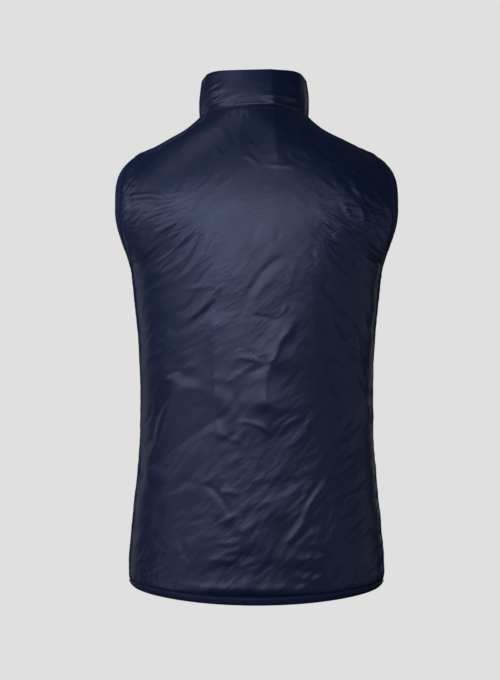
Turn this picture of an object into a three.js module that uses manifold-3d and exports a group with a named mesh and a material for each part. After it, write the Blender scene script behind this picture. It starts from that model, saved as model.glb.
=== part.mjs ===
// A padded sleeveless vest with a stand collar and a front zip, in the hollow form it has when worn.
// Millimetres. +Z is up, the front faces -Y and +X is the wearer's left.
// The origin lies between the shoulders, level with the foot of the neck, where the wearer carries the vest.
import * as THREE from "three";
import { mergeVertices } from "three/addons/utils/BufferGeometryUtils.js";
import Module from "manifold-3d";

const wasm = await Module();
wasm.setup();

const { Vector3 } = THREE;
const RAD = Math.PI / 180;
const BACK = 1;
const FRONT = -1;

// Walls and seams
const SEAM_GAP = 0.3;
const PADDED_WALL = 5.2;
const SEAM_WALL = 3.0;
const PAD_RISE = 26; // distance from a seam at which the padding is full
const FOLD_FADE = 22; // distance from a seam at which a fold is full

// Bindings
const BINDING_WIDTH = 11;
const BINDING_WALL = 3.8;
const BINDING_CROWN = 0.7;
const HEM_TUCK = 1.5;
const HEM_SIDE_TUCK = 6.5; // more at the sides, where the hem's corners are round

// Zip
const ZIP_HALF = 6.5;
const TAPE_RECESS = 1.2;
const TAPE_WALL = 1.2;
const TAPE_MID = TAPE_RECESS + TAPE_WALL / 2;

// Grid
const NECK_COLUMNS = 8;
const SHOULDER_COLUMNS = 7;
const NECK_SHARE = 0.52; // share of a row's length that lies under the neckline
const ROW_STEP = 21;
const COLLAR_ROWS = 5;

// Torso below the armholes: one row for each level, from the hem up. The side seam is at y = 0.
const TORSO = [
  { sideZ: -632, halfWidth: 174.5, backZ: -645, backY: 112, frontZ: -635, frontY: -115, fullness: 0.58 },
  { sideZ: -604, halfWidth: 174.2, backZ: -615, backY: 114, frontZ: -607, frontY: -116, fullness: 0.58 },
  { sideZ: -524, halfWidth: 167.2, backZ: -527, backY: 112, frontZ: -524, frontY: -113, fullness: 0.56 },
  { sideZ: -441, halfWidth: 160.3, backZ: -441, backY: 111.5, frontZ: -441, frontY: -112, fullness: 0.53 },
  { sideZ: -373, halfWidth: 159, backZ: -373, backY: 112.5, frontZ: -373, frontY: -114, fullness: 0.53 },
  { sideZ: -304, halfWidth: 162, backZ: -304, backY: 115, frontZ: -304, frontY: -118, fullness: 0.55 },
  { sideZ: -250, halfWidth: 167, backZ: -252, backY: 117.5, frontZ: -252, frontY: -121, fullness: 0.59 },
];
const CORNER_FULLNESS = 0.62; // 0.55 gives an ellipse, more gives a squarer section

// Rows that end at the armhole. climb is the angle round the armhole from its lowest point, at -90, to the
// shoulder tip, at 90. turn and fall are the row's heading at the armhole, inwards and downwards, in degrees.
const ARM_ROWS = [
  { climb: -90, backZ: -207, backY: 119.5, frontZ: -207, frontY: -122, turn: 90, fall: 0, reach: 74 },
  { climb: -60, backZ: -176, backY: 120.5, frontZ: -180, frontY: -120, turn: 80, fall: 2, reach: 56 },
  { climb: -30, backZ: -140, backY: 119, frontZ: -152, frontY: -115, turn: 62, fall: 6, reach: 52 },
  { climb: 0, backZ: -99, backY: 114, frontZ: -126, frontY: -107, turn: 50, fall: 10, reach: 54 },
  { climb: 30, backZ: -59, backY: 104, frontZ: -102, frontY: -98, turn: 38, fall: 16, reach: 56 },
  { climb: 60, backZ: -22, backY: 90, frontZ: -80, frontY: -88, turn: 22, fall: 22, reach: 60 },
];
const ARM_FULLNESS = 0.5;

// The armhole's finished edge and the seam of its binding, as two ovals round the same arm
const ARMHOLE = { midZ: -129.5, edgeHeight: 67.5, seamHeight: 76.5, edgeBack: 55, seamBack: 64, edgeFront: 62, seamFront: 70 };
const EDGE_X = { low: 174.5, high: 175.5, bulge: 16.5 };
const SEAM_X = { low: 172, high: 165.5, bulge: 15.5 };

// Neckline, shoulder seam and collar
const NECK = { halfWidth: 74.5, midY: -3, halfDepth: 77, backZ: 8.5, sideZ: 0, frontZ: -47, sideFall: 14 };
const SHOULDER_BEND = { nearX: 82, nearZ: -17, farX: 112, farZ: -31 };
const COLLAR_TOP = { halfWidth: 71, midY: -13, halfDepth: 73, backZ: 60, sideZ: 59, frontZ: 20, sideFall: 7 };
const COLLAR_SQUARENESS = 0.9;
const COLLAR_BOW = 2.2;

// The largest folds. Each runs from (x1, z1) to (x2, z2); height is outwards, so a trough is negative.
const BACK_FOLDS = [
  { x1: 168, z1: -116, x2: 120, z2: -118, width: 9, height: 3.5 },
  { x1: 166, z1: -172, x2: 122, z2: -153, width: 10, height: -3.5 },
  { x1: 124, z1: -200, x2: 100, z2: -160, width: 10, height: -2.5 },
  { x1: 108, z1: -294, x2: 74, z2: -245, width: 13, height: -4 },
  { x1: 122, z1: -360, x2: 72, z2: -327, width: 13, height: 4 },
  { x1: 146, z1: -437, x2: 104, z2: -373, width: 11, height: 3.5 },
  { x1: 142, z1: -512, x2: 52, z2: -418, width: 16, height: 6 },
  { x1: 118, z1: -520, x2: 48, z2: -452, width: 14, height: -3.5 },
  { x1: -45, z1: -272, x2: -14, z2: -390, width: 16, height: 5 },
  { x1: -34, z1: -196, x2: 20, z2: -272, width: 13, height: -4 },
  { x1: 32, z1: -350, x2: -24, z2: -330, width: 11, height: -4 },
  { x1: -102, z1: -277, x2: -148, z2: -400, width: 11, height: 3 },
  { x1: -132, z1: -134, x2: -170, z2: -182, width: 10, height: -4 },
  { x1: -84, z1: -500, x2: -34, z2: -574, width: 12, height: 3.5 },
  { x1: 60, z1: -506, x2: 28, z2: -538, width: 11, height: -4 },
  { x1: 104, z1: -628, x2: -84, z2: -632, width: 12, height: 3.5 },
];
const FRONT_FOLDS = [
  { x1: 160, z1: -178, x2: 112, z2: -158, width: 11, height: -3.5 },
  { x1: 152, z1: -214, x2: 96, z2: -250, width: 13, height: 3.5 },
  { x1: 118, z1: -330, x2: 52, z2: -372, width: 14, height: -4 },
  { x1: 136, z1: -426, x2: 60, z2: -398, width: 15, height: 4.5 },
  { x1: 128, z1: -540, x2: 58, z2: -488, width: 14, height: -3.5 },
  { x1: -158, z1: -172, x2: -108, z2: -150, width: 11, height: -3.5 },
  { x1: -142, z1: -262, x2: -70, z2: -224, width: 14, height: 4 },
  { x1: -126, z1: -352, x2: -64, z2: -404, width: 14, height: -4 },
  { x1: -140, z1: -470, x2: -72, z2: -440, width: 14, height: 4 },
  { x1: -108, z1: -592, x2: -40, z2: -548, width: 13, height: 3.5 },
];

const lerp = (a, b, t) => a + (b - a) * t;
const smooth = (t) => {
  const s = Math.min(1, Math.max(0, t));
  return s * s * (3 - 2 * s);
};

// Points on the named curves

function armholePoint(climb, side, ring) {
  const onEdge = ring === "edge";
  const x = onEdge ? EDGE_X : SEAM_X;
  const height = onEdge ? ARMHOLE.edgeHeight : ARMHOLE.seamHeight;
  const backDepth = onEdge ? ARMHOLE.edgeBack : ARMHOLE.seamBack;
  const frontDepth = onEdge ? ARMHOLE.edgeFront : ARMHOLE.seamFront;
  const depth = side === BACK ? backDepth : -frontDepth;
  const up = Math.sin(climb * RAD);
  const out = Math.cos(climb * RAD);
  const bulge = x.bulge * out ** (up < 0 ? 3 : 2) * (1 + Math.max(0, up) ** 2);
  return new Vector3(lerp(x.low, x.high, (1 + up) / 2) + bulge, depth * out, ARMHOLE.midZ + height * up);
}

// angle runs from 0 at the middle of the back, by 90 at the wearer's left, to 180 at the front
function ringPoint(ring, angle, squareness) {
  const forward = Math.max(0, Math.abs(angle) - 90) / 90;
  const backDrop = (ring.backZ - ring.sideZ) * (1 - Math.max(0, Math.cos(angle * RAD)));
  const frontDrop = ring.sideFall * forward + (ring.sideZ - ring.frontZ - ring.sideFall) * smooth(forward);
  const squared = (v) => Math.sign(v) * Math.abs(v) ** squareness;
  return new Vector3(
    ring.halfWidth * squared(Math.sin(angle * RAD)),
    ring.midY + ring.halfDepth * squared(Math.cos(angle * RAD)),
    ring.backZ - backDrop - frontDrop,
  );
}

const neckPoint = (angle) => ringPoint(NECK, angle, 1);
const collarTopPoint = (angle) => ringPoint(COLLAR_TOP, angle, COLLAR_SQUARENESS);

const zipAngle = 180 - Math.asin(ZIP_HALF / NECK.halfWidth) / RAD;

// Rows of a panel, each a function of the share of its length from the middle of the body to its edge

function bezierRow(start, startHandle, endHandle, end) {
  const curve = new THREE.CubicBezierCurve3(start, startHandle, endHandle, end);
  curve.arcLengthDivisions = 120;
  return (share) => curve.getPointAt(share);
}

function torsoRow(level, side, startX) {
  const y = side === BACK ? level.backY : level.frontY;
  const z = side === BACK ? level.backZ : level.frontZ;
  const start = new Vector3(startX, y, z);
  const end = new Vector3(level.halfWidth, 0, level.sideZ);
  const flat = level.fullness * (level.halfWidth - startX);
  return bezierRow(
    start,
    start.clone().add(new Vector3(flat, 0, 0)),
    end.clone().add(new Vector3(0, level.fullness * y, 0)),
    end,
  );
}

function armRow(row, side, startX) {
  const start = new Vector3(startX, side === BACK ? row.backY : row.frontY, side === BACK ? row.backZ : row.frontZ);
  const end = armholePoint(row.climb, side, "seam");
  const heading = new Vector3(
    Math.cos(row.turn * RAD) * Math.cos(row.fall * RAD),
    -side * Math.sin(row.turn * RAD) * Math.cos(row.fall * RAD),
    -Math.sin(row.fall * RAD),
  );
  const flat = (row.climb === -90 ? CORNER_FULLNESS : ARM_FULLNESS) * (end.x - startX);
  return bezierRow(
    start,
    start.clone().add(new Vector3(flat, 0, 0)),
    end.clone().addScaledVector(heading, -row.reach),
    end,
  );
}

function topRow(side) {
  const midAngle = side === BACK ? 0 : zipAngle;
  const neck = neckPoint(90);
  const tip = armholePoint(90, side, "seam");
  const shoulder = bezierRow(
    neck,
    new Vector3(SHOULDER_BEND.nearX, neck.y, SHOULDER_BEND.nearZ),
    new Vector3(SHOULDER_BEND.farX, neck.y / 2, SHOULDER_BEND.farZ),
    tip,
  );
  return (share) =>
    share <= NECK_SHARE
      ? neckPoint(lerp(midAngle, 90, share / NECK_SHARE))
      : shoulder((share - NECK_SHARE) / (1 - NECK_SHARE));
}

// Column shares: one lies exactly where the neckline meets the shoulder seam
const SHARES = [];
for (let j = 0; j <= NECK_COLUMNS; j++) SHARES.push((NECK_SHARE * j) / NECK_COLUMNS);
for (let j = 1; j <= SHOULDER_COLUMNS; j++) SHARES.push(lerp(NECK_SHARE, 1, j / SHOULDER_COLUMNS));

// A smooth line through points at given knots; cornerAt is the index where the line may turn sharply
function smoothLine(points, knots, cornerAt, cornerWeight) {
  const last = points.length - 1;
  const slope = (i) => points[i + 1].clone().sub(points[i]).divideScalar(knots[i + 1] - knots[i]);
  const middle = (i) => {
    const before = knots[i] - knots[i - 1];
    const after = knots[i + 1] - knots[i];
    return slope(i).multiplyScalar(before).add(slope(i - 1).multiplyScalar(after)).divideScalar(before + after);
  };
  const leaving = (i) => slope(i).multiplyScalar(1.5).addScaledVector(i + 1 < last ? middle(i + 1) : slope(i), -0.5);
  const arriving = (i) => slope(i - 1).multiplyScalar(1.5).addScaledVector(i > 1 ? middle(i - 1) : slope(0), -0.5);
  const tangent = (i, forward) => {
    if (i === 0) return leaving(0);
    if (i === last) return arriving(last);
    if (i !== cornerAt) return middle(i);
    return middle(i).lerp(forward ? leaving(i) : arriving(i), cornerWeight);
  };
  return (span, t) => {
    const h = knots[span + 1] - knots[span];
    const t2 = t * t;
    const t3 = t2 * t;
    return new Vector3()
      .addScaledVector(points[span], 2 * t3 - 3 * t2 + 1)
      .addScaledVector(points[span + 1], 3 * t2 - 2 * t3)
      .addScaledVector(tangent(span, true), h * (t3 - 2 * t2 + t))
      .addScaledVector(tangent(span + 1, false), h * (t3 - t2));
  };
}

const CORNER = TORSO.length; // index of the row at the foot of the armhole
const GUIDE_COLUMN = 0.6;

// How many grid rows lie in each span, the same for the back and the fronts so that their side seams match
const guides = [...TORSO.map((l) => torsoRow(l, BACK, 0)), ...ARM_ROWS.map((r) => armRow(r, BACK, 0)), topRow(BACK)];
const spanRows = guides
  .slice(1)
  .map((row, i) => Math.max(1, Math.round(row(GUIDE_COLUMN).distanceTo(guides[i](GUIDE_COLUMN)) / ROW_STEP)));
const cornerRow = spanRows.slice(0, CORNER).reduce((a, b) => a + b, 0);
const knots = [0];
for (let i = 1; i < guides.length; i++) {
  knots.push(knots[i - 1] + guides[i](GUIDE_COLUMN).distanceTo(guides[i - 1](GUIDE_COLUMN)));
}

// Half a panel: points[row][column] from the hem up and from the middle of the body outwards,
// and the armhole's finished edge beside each row above the corner
function halfPanel(side, startX) {
  const rows = [
    ...TORSO.map((l) => torsoRow(l, side, startX)),
    ...ARM_ROWS.map((r) => armRow(r, side, startX)),
    topRow(side),
  ];
  const lines = SHARES.map((share) =>
    smoothLine(
      rows.map((row) => row(share)),
      knots,
      CORNER,
      smooth((share - 0.75) / 0.25),
    ),
  );
  const climbs = [...ARM_ROWS.map((r) => r.climb), 90];
  const points = [];
  const edge = [];
  spanRows.forEach((count, span) => {
    for (let k = 0; k < count; k++) {
      const row = lines.map((line) => line(span, k / count));
      if (span >= CORNER) {
        const climb = lerp(climbs[span - CORNER], climbs[span - CORNER + 1], k / count);
        row[row.length - 1] = armholePoint(climb, side, "seam");
        edge.push(armholePoint(climb, side, "edge"));
      }
      points.push(row);
    }
  });
  const top = rows[rows.length - 1];
  points.push(SHARES.map((share) => top(share)));
  edge.push(armholePoint(90, side, "edge"));
  return { points, edge };
}

const mirrorPoint = (p) => new Vector3(-p.x, p.y, p.z);

// Folds, laid on the points along their normals

function foldHeight(folds, x, z) {
  let total = 0;
  for (const f of folds) {
    const dx = f.x2 - f.x1;
    const dz = f.z2 - f.z1;
    const length = Math.hypot(dx, dz);
    const along = ((x - f.x1) * dx + (z - f.z1) * dz) / (length * length);
    const across = ((x - f.x1) * dz - (z - f.z1) * dx) / length;
    const past = (Math.max(0, -along) + Math.max(0, along - 1)) * length;
    total += f.height * Math.exp(-((across / f.width) ** 2) - (past / f.width) ** 2);
  }
  return total;
}

// Normals of a grid whose rows run up and whose columns run round; closed grids join their last column to the first
function gridNormals(points, closed) {
  const rows = points.length;
  const columns = points[0].length;
  const at = (i, j) => points[Math.min(rows - 1, Math.max(0, i))][closed ? (j + columns) % columns : Math.min(columns - 1, Math.max(0, j))];
  return points.map((row, i) =>
    row.map((_, j) => {
      const round = at(i, j + 1).clone().sub(at(i, j - 1));
      const up = at(i + 1, j).clone().sub(at(i - 1, j));
      return round.cross(up).normalize();
    }),
  );
}

// Distance of each grid point from the nearest of the grid's four borders, along the grid lines
function borderDistance(points, closed) {
  const rows = points.length;
  const columns = points[0].length;
  const far = 1e6;
  const distance = points.map((row) => row.map(() => far));
  const step = (a, b) => points[a[0]][a[1]].distanceTo(points[b[0]][b[1]]);
  for (let j = 0; j < columns; j++) {
    for (let i = 0, d = 0; i < rows; i++) {
      if (i > 0) d += step([i, j], [i - 1, j]);
      distance[i][j] = Math.min(distance[i][j], d);
    }
    for (let i = rows - 1, d = 0; i >= 0; i--) {
      if (i < rows - 1) d += step([i, j], [i + 1, j]);
      distance[i][j] = Math.min(distance[i][j], d);
    }
  }
  if (closed) return distance;
  for (let i = 0; i < rows; i++) {
    for (let j = 0, d = 0; j < columns; j++) {
      if (j > 0) d += step([i, j], [i, j - 1]);
      distance[i][j] = Math.min(distance[i][j], d);
    }
    for (let j = columns - 1, d = 0; j >= 0; j--) {
      if (j < columns - 1) d += step([i, j], [i, j + 1]);
      distance[i][j] = Math.min(distance[i][j], d);
    }
  }
  return distance;
}

function foldPoints(points, folds) {
  const normals = gridNormals(points, false);
  const distance = borderDistance(points, false);
  points.forEach((row, i) =>
    row.forEach((p, j) => {
      const height = foldHeight(folds, p.x, p.z) * smooth(distance[i][j] / FOLD_FADE);
      p.addScaledVector(normals[i][j], height);
    }),
  );
}

// Turns a grid of outer points, their normals and the wall's depth at each into one closed solid
function wall(points, normals, depth, closed) {
  const rows = points.length;
  const columns = points[0].length;
  const inner = rows * columns;
  const positions = [];
  for (const [sign, offset] of [[0, 0], [1, inner]]) {
    for (let i = 0; i < rows; i++) {
      for (let j = 0; j < columns; j++) {
        const p = points[i][j].clone().addScaledVector(normals[i][j], -sign * depth(i, j));
        positions.splice((offset + i * columns + j) * 3, 0, p.x, p.y, p.z);
      }
    }
  }
  const faces = [];
  const quad = (a, b, c, d) => faces.push(a, b, c, a, c, d);
  // A rim quad is cut along the same diagonal as the rim of the piece across the seam
  const height = (k) => positions[3 * k] * 0.11 + positions[3 * k + 1] * 0.37 + positions[3 * k + 2];
  const rim = (a, b) => {
    if (height(a) < height(b)) quad(a, inner + a, inner + b, b);
    else quad(inner + a, inner + b, b, a);
  };
  const id = (i, j) => i * columns + ((j + columns) % columns);
  const wide = closed ? columns : columns - 1;
  for (let j = 0; j < wide; j++) {
    for (let i = 0; i < rows - 1; i++) {
      quad(id(i, j), id(i, j + 1), id(i + 1, j + 1), id(i + 1, j));
      quad(inner + id(i, j), inner + id(i + 1, j), inner + id(i + 1, j + 1), inner + id(i, j + 1));
    }
    rim(id(0, j), id(0, j + 1));
    rim(id(rows - 1, j + 1), id(rows - 1, j));
  }
  if (!closed) {
    for (let i = 0; i < rows - 1; i++) {
      rim(id(i + 1, 0), id(i, 0));
      rim(id(i, columns - 1), id(i + 1, columns - 1));
    }
  }
  const geometry = new THREE.BufferGeometry();
  geometry.setAttribute("position", new THREE.Float32BufferAttribute(positions, 3));
  geometry.setIndex(faces);
  return geometry;
}

// The panels, collar and bindings as grids that share their seam points

const leftBack = halfPanel(BACK, 0);
const leftFront = halfPanel(FRONT, ZIP_HALF);

const grids = {};

// The columns run so that their normals point outwards: from the wearer's left to the right over the back,
// and from the right to the left over the front
grids.back = {
  points: leftBack.points.map((row) => [...row.slice().reverse().map((p) => p.clone()), ...row.slice(1).map(mirrorPoint)]),
};
grids.front_left = { points: leftFront.points.map((row) => row.map((p) => p.clone())) };
grids.front_right = { points: leftFront.points.map((row) => row.slice().reverse().map(mirrorPoint)) };

foldPoints(grids.back.points, BACK_FOLDS);
foldPoints(grids.front_left.points, FRONT_FOLDS);
foldPoints(grids.front_right.points, FRONT_FOLDS);

const columnsPerHalf = SHARES.length - 1;
const topIndex = leftBack.points.length - 1;

// Collar: its lower row repeats the neckline's points, from the zip's left edge round the back to its right edge
const neckAngles = [];
for (let j = 0; j <= NECK_COLUMNS; j++) neckAngles.push(lerp(zipAngle, 90, j / NECK_COLUMNS));
for (let j = NECK_COLUMNS - 1; j >= 0; j--) neckAngles.push((90 * j) / NECK_COLUMNS);
neckAngles.push(...neckAngles.slice(0, -1).reverse().map((a) => -a));
grids.collar = { points: [] };
for (let i = 0; i <= COLLAR_ROWS; i++) {
  const up = i / COLLAR_ROWS;
  grids.collar.points.push(
    neckAngles.map((angle) => {
      const p = neckPoint(angle).lerp(collarTopPoint(angle), up);
      const bow = COLLAR_BOW * Math.sin(Math.PI * up);
      return p.add(new Vector3(Math.sin(angle * RAD) * bow, Math.cos(angle * RAD) * bow, 0));
    }),
  );
}
// The zip's edges of the collar stay parallel to the zip
for (const row of grids.collar.points) {
  row[0].x = ZIP_HALF;
  row[row.length - 1].x = -ZIP_HALF;
}

// Armhole bindings: rings from the seam to the finished edge, three points across
function armholeGrid(mirrored) {
  const seam = [];
  const edge = [];
  const place = (p) => (mirrored ? mirrorPoint(p) : p.clone());
  for (let i = cornerRow; i <= topIndex; i++) {
    seam.push(place(leftBack.points[i][columnsPerHalf]));
    edge.push(place(leftBack.edge[i - cornerRow]));
  }
  for (let i = topIndex - 1; i > cornerRow; i--) {
    seam.push(place(leftFront.points[i][columnsPerHalf]));
    edge.push(place(leftFront.edge[i - cornerRow]));
  }
  const middle = seam.map((p, j) => p.clone().lerp(edge[j], 0.5));
  const points = [seam, middle, edge];
  if (mirrored) points.forEach((row) => row.reverse());
  return { points, closed: true };
}
grids.armhole_binding_left = armholeGrid(false);
grids.armhole_binding_right = armholeGrid(true);

// Hem binding: from the zip's left edge round the back to its right edge
const hemTop = [
  ...grids.front_left.points[0],
  ...grids.back.points[0].slice(1),
  ...grids.front_right.points[0].slice(1),
].map((p) => p.clone());
const hemRow = (down, share) =>
  hemTop.map((p) => {
    const inwards = new Vector3(-p.x, -p.y, 0).normalize();
    inwards.multiplyScalar(share * (HEM_TUCK + HEM_SIDE_TUCK * inwards.x ** 4));
    inwards.x *= Math.min(1, (Math.abs(p.x) - ZIP_HALF) / ZIP_HALF);
    return p.clone().add(inwards).add(new Vector3(0, 0, -down));
  });
grids.hem_binding = { points: [hemRow(BINDING_WIDTH, 1), hemRow(BINDING_WIDTH / 2, 0.4), hemTop] };

// Normals: points that pieces share get one common normal, so that their seam faces stay parallel
const pointKey = (p) => p.toArray().map((v) => Math.round(v * 100)).join(",");
const shared = new Map();
for (const grid of Object.values(grids)) {
  grid.normals = gridNormals(grid.points, grid.closed);
  grid.points.forEach((row, i) =>
    row.forEach((p, j) => {
      const key = pointKey(p);
      if (!shared.has(key)) shared.set(key, new Vector3());
      shared.get(key).add(grid.normals[i][j]);
    }),
  );
}
for (const grid of Object.values(grids)) {
  grid.normals = grid.points.map((row) =>
    row.map((p) => {
      const normal = shared.get(pointKey(p)).clone();
      if (Math.abs(p.x) <= ZIP_HALF + 0.01 && p.y < 0) normal.x = 0; // edges beside the zip stay parallel to it
      return normal.normalize();
    }),
  );
}

// Draws a border's points back from the seam by half the gap, towards the points beside them
function drawBack(target, towards) {
  target.forEach((p, j) => {
    const step = towards[j].clone().sub(p);
    if (step.length() > 0) p.addScaledVector(step.normalize(), SEAM_GAP / 2);
  });
}
const column = (points, j, from = 0, to = points.length) => points.slice(from, to).map((row) => row[j]);
const copies = (list) => list.map((p) => p.clone());

function drawBackPanel(name, sideColumns) {
  const { points } = grids[name];
  const width = points[0].length;
  const below = copies(points[1]);
  const under = copies(points[topIndex - 1]);
  for (let j = 0; j < width; j++) {
    const inside = j === 0 ? 1 : j === width - 1 ? width - 2 : -1;
    if (inside < 0) continue;
    const sideSeam = sideColumns.includes(j);
    const until = sideSeam ? cornerRow + 1 : points.length;
    drawBack(column(points, j, 0, until), copies(column(points, inside, 0, until)));
    if (sideSeam) drawBackArmhole(points, j, name);
  }
  drawBack(points[0], below);
  drawBack(points[topIndex], under);
}

// At the armhole the points move straight away from the finished edge
function drawBackArmhole(points, j, name) {
  const half = name === "back" ? leftBack : leftFront;
  for (let i = cornerRow; i < points.length; i++) {
    const seam = half.points[i][columnsPerHalf];
    const away = seam.clone().sub(half.edge[i - cornerRow]).normalize();
    if (points[i][j].x < 0) away.x = -away.x;
    points[i][j].addScaledVector(away, SEAM_GAP / 2);
  }
}

drawBackPanel("back", [0, 2 * columnsPerHalf]);
drawBackPanel("front_left", [columnsPerHalf]);
drawBackPanel("front_right", [0]);

const collarPoints = grids.collar.points;
drawBack(collarPoints[0], copies(collarPoints[1]));
for (const name of ["armhole_binding_left", "armhole_binding_right"]) {
  drawBack(grids[name].points[0], copies(grids[name].points[1]));
}
drawBack(grids.hem_binding.points[2], copies(grids.hem_binding.points[1]));
for (const name of ["collar", "hem_binding"]) {
  for (const row of grids[name].points) {
    row[0].x += SEAM_GAP / 2;
    row[row.length - 1].x -= SEAM_GAP / 2;
  }
}

// Walls from the grids
function paddedWall(grid) {
  const distance = borderDistance(grid.points, false);
  return wall(
    grid.points,
    grid.normals,
    (i, j) => lerp(SEAM_WALL, PADDED_WALL, smooth(distance[i][j] / PAD_RISE)),
    false,
  );
}

function bindingWall(grid) {
  const middle = 1;
  grid.points[middle].forEach((p, j) => p.addScaledVector(grid.normals[middle][j], BINDING_CROWN));
  return wall(grid.points, grid.normals, (i) => (i === middle ? BINDING_WALL : SEAM_WALL), grid.closed);
}

// Zip: two tapes that follow the fronts' edges from the hem to the collar's top

function tape(side) {
  const front = grids[side > 0 ? "front_left" : "front_right"];
  const edgeColumn = side > 0 ? 0 : columnsPerHalf;
  const collarColumn = side > 0 ? 0 : grids.collar.points[0].length - 1;
  const hemColumn = side > 0 ? 0 : hemTop.length - 1;
  const line = [
    { p: grids.hem_binding.points[0][hemColumn], n: grids.hem_binding.normals[0][hemColumn] },
    ...front.points.map((row, i) => ({ p: row[edgeColumn], n: front.normals[i][edgeColumn] })),
    ...grids.collar.points.slice(1).map((row, i) => ({ p: row[collarColumn], n: grids.collar.normals[i + 1][collarColumn] })),
  ];
  const outer = ZIP_HALF - SEAM_GAP / 2;
  const points = [];
  const normals = [];
  for (const { p, n } of line) {
    const normal = new Vector3(0, n.y, n.z).normalize();
    const base = new Vector3(0, p.y, p.z).addScaledVector(normal, -TAPE_RECESS);
    const across = [side * outer, side * (SEAM_GAP / 2)].map((x) => base.clone().setX(x));
    if (side > 0) across.reverse();
    points.push(across);
    normals.push(across.map(() => normal.clone()));
  }
  return { geometry: wall(points, normals, () => TAPE_WALL, false), line };
}

function toManifold(geometry) {
  const g = geometry.clone();
  g.deleteAttribute("normal");
  g.deleteAttribute("uv");
  const merged = mergeVertices(g);
  return new wasm.Manifold(
    new wasm.Mesh({
      numProp: 3,
      vertProperties: new Float32Array(merged.attributes.position.array),
      triVerts: new Uint32Array(merged.index.array),
    }),
  );
}

function fromManifold(solid) {
  const mesh = solid.getMesh();
  const geometry = new THREE.BufferGeometry();
  geometry.setAttribute("position", new THREE.BufferAttribute(mesh.vertProperties, 3));
  geometry.setIndex(new THREE.BufferAttribute(mesh.triVerts, 1));
  return geometry;
}

function block(x1, x2, y1, y2, z1, z2) {
  const g = new THREE.BoxGeometry(x2 - x1, y2 - y1, z2 - z1);
  return g.translate((x1 + x2) / 2, (y1 + y2) / 2, (z1 + z2) / 2);
}

// A frame on the zip: x across, y up along the tape and z outwards, from the middle of the tape's thickness
function zipFrame(low, high) {
  const up = new Vector3(0, high.p.y - low.p.y, high.p.z - low.p.z).normalize();
  const out = new Vector3(1, 0, 0).cross(up);
  const middle = low.p.clone().lerp(high.p, 0.5).setX(0).addScaledVector(out, -TAPE_MID);
  return new THREE.Matrix4().makeBasis(new Vector3(1, 0, 0), up, out).setPosition(middle);
}

const SLIDER = { halfWidth: 4.4, halfLength: 5.4, plateIn: 1.7, plateOut: 3.0, lip: 0.95, lipWidth: 0.9 };
const SLIDER_NECK = { halfWidth: 1.0, low: 2.6, high: 5.2 };
const BRIDGE = { halfWidth: 1.0, halfLength: 3.8, post: 1.2, height: 2.4, bar: 1.2 };
const PULL = { halfWidth: 2.9, endHalfWidth: 3.5, length: 29, halfThickness: 0.6, slotHalfWidth: 1.4, slotLength: 4.6, round: 2 };
const PIVOT_OUT = SLIDER.plateOut + BRIDGE.height / 2;
const ZIP_BOX = { halfWidth: 3.6, height: 6.5, halfDepth: 1.9 };

function sliderGeometry() {
  const { halfWidth: w, halfLength: l, plateIn, plateOut, lip, lipWidth } = SLIDER;
  const b = BRIDGE;
  const arch = plateOut + b.height;
  const blocks = [
    block(-w, w, -l, l, plateIn, plateOut),
    block(-w, w, -l, l, -plateOut, -plateIn),
    block(-SLIDER_NECK.halfWidth, SLIDER_NECK.halfWidth, SLIDER_NECK.low, SLIDER_NECK.high, -plateOut, plateOut),
    block(-b.halfWidth, b.halfWidth, b.halfLength - b.post, b.halfLength, plateIn, arch + b.bar),
    block(-b.halfWidth, b.halfWidth, -b.halfLength, b.post - b.halfLength, plateIn, arch + b.bar),
    block(-b.halfWidth, b.halfWidth, -b.halfLength, b.halfLength, arch, arch + b.bar),
  ];
  for (const side of [-1, 1]) {
    const edges = [side * w, side * (w - lipWidth)].sort((p, q) => p - q);
    blocks.push(block(...edges, -l, l, lip, plateOut), block(...edges, -l, l, -plateOut, -lip));
  }
  return fromManifold(blocks.map(toManifold).reduce((all, part) => all.add(part)));
}

// The pull hangs straight down from its pivot: x across, y down to its end, z through its thickness
function pullGeometry() {
  const t = PULL.halfThickness;
  const outline = new THREE.Shape();
  outline.moveTo(-PULL.halfWidth, t);
  outline.lineTo(-PULL.halfWidth, -PULL.slotLength - 3 * t);
  outline.lineTo(-PULL.endHalfWidth, PULL.round - PULL.length);
  outline.quadraticCurveTo(-PULL.endHalfWidth, -PULL.length, PULL.round - PULL.endHalfWidth, -PULL.length);
  outline.lineTo(PULL.endHalfWidth - PULL.round, -PULL.length);
  outline.quadraticCurveTo(PULL.endHalfWidth, -PULL.length, PULL.endHalfWidth, PULL.round - PULL.length);
  outline.lineTo(PULL.halfWidth, -PULL.slotLength - 3 * t);
  outline.lineTo(PULL.halfWidth, t);
  outline.closePath();
  const slot = new THREE.Path();
  slot.moveTo(-PULL.slotHalfWidth, -t);
  slot.lineTo(PULL.slotHalfWidth, -t);
  slot.lineTo(PULL.slotHalfWidth, -t - PULL.slotLength);
  slot.lineTo(-PULL.slotHalfWidth, -t - PULL.slotLength);
  slot.closePath();
  outline.holes.push(slot);
  const g = new THREE.ExtrudeGeometry(outline, { depth: 2 * t, bevelEnabled: false, curveSegments: 4 });
  return g.translate(0, 0, -t).rotateX(Math.PI / 2);
}

const tapeLeft = tape(1);
const tapeRight = tape(-1);
const line = tapeLeft.line;
const sliderFrame = zipFrame(line[line.length - 2], line[line.length - 1]);
const boxFrame = zipFrame(line[0], line[1]);

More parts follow.
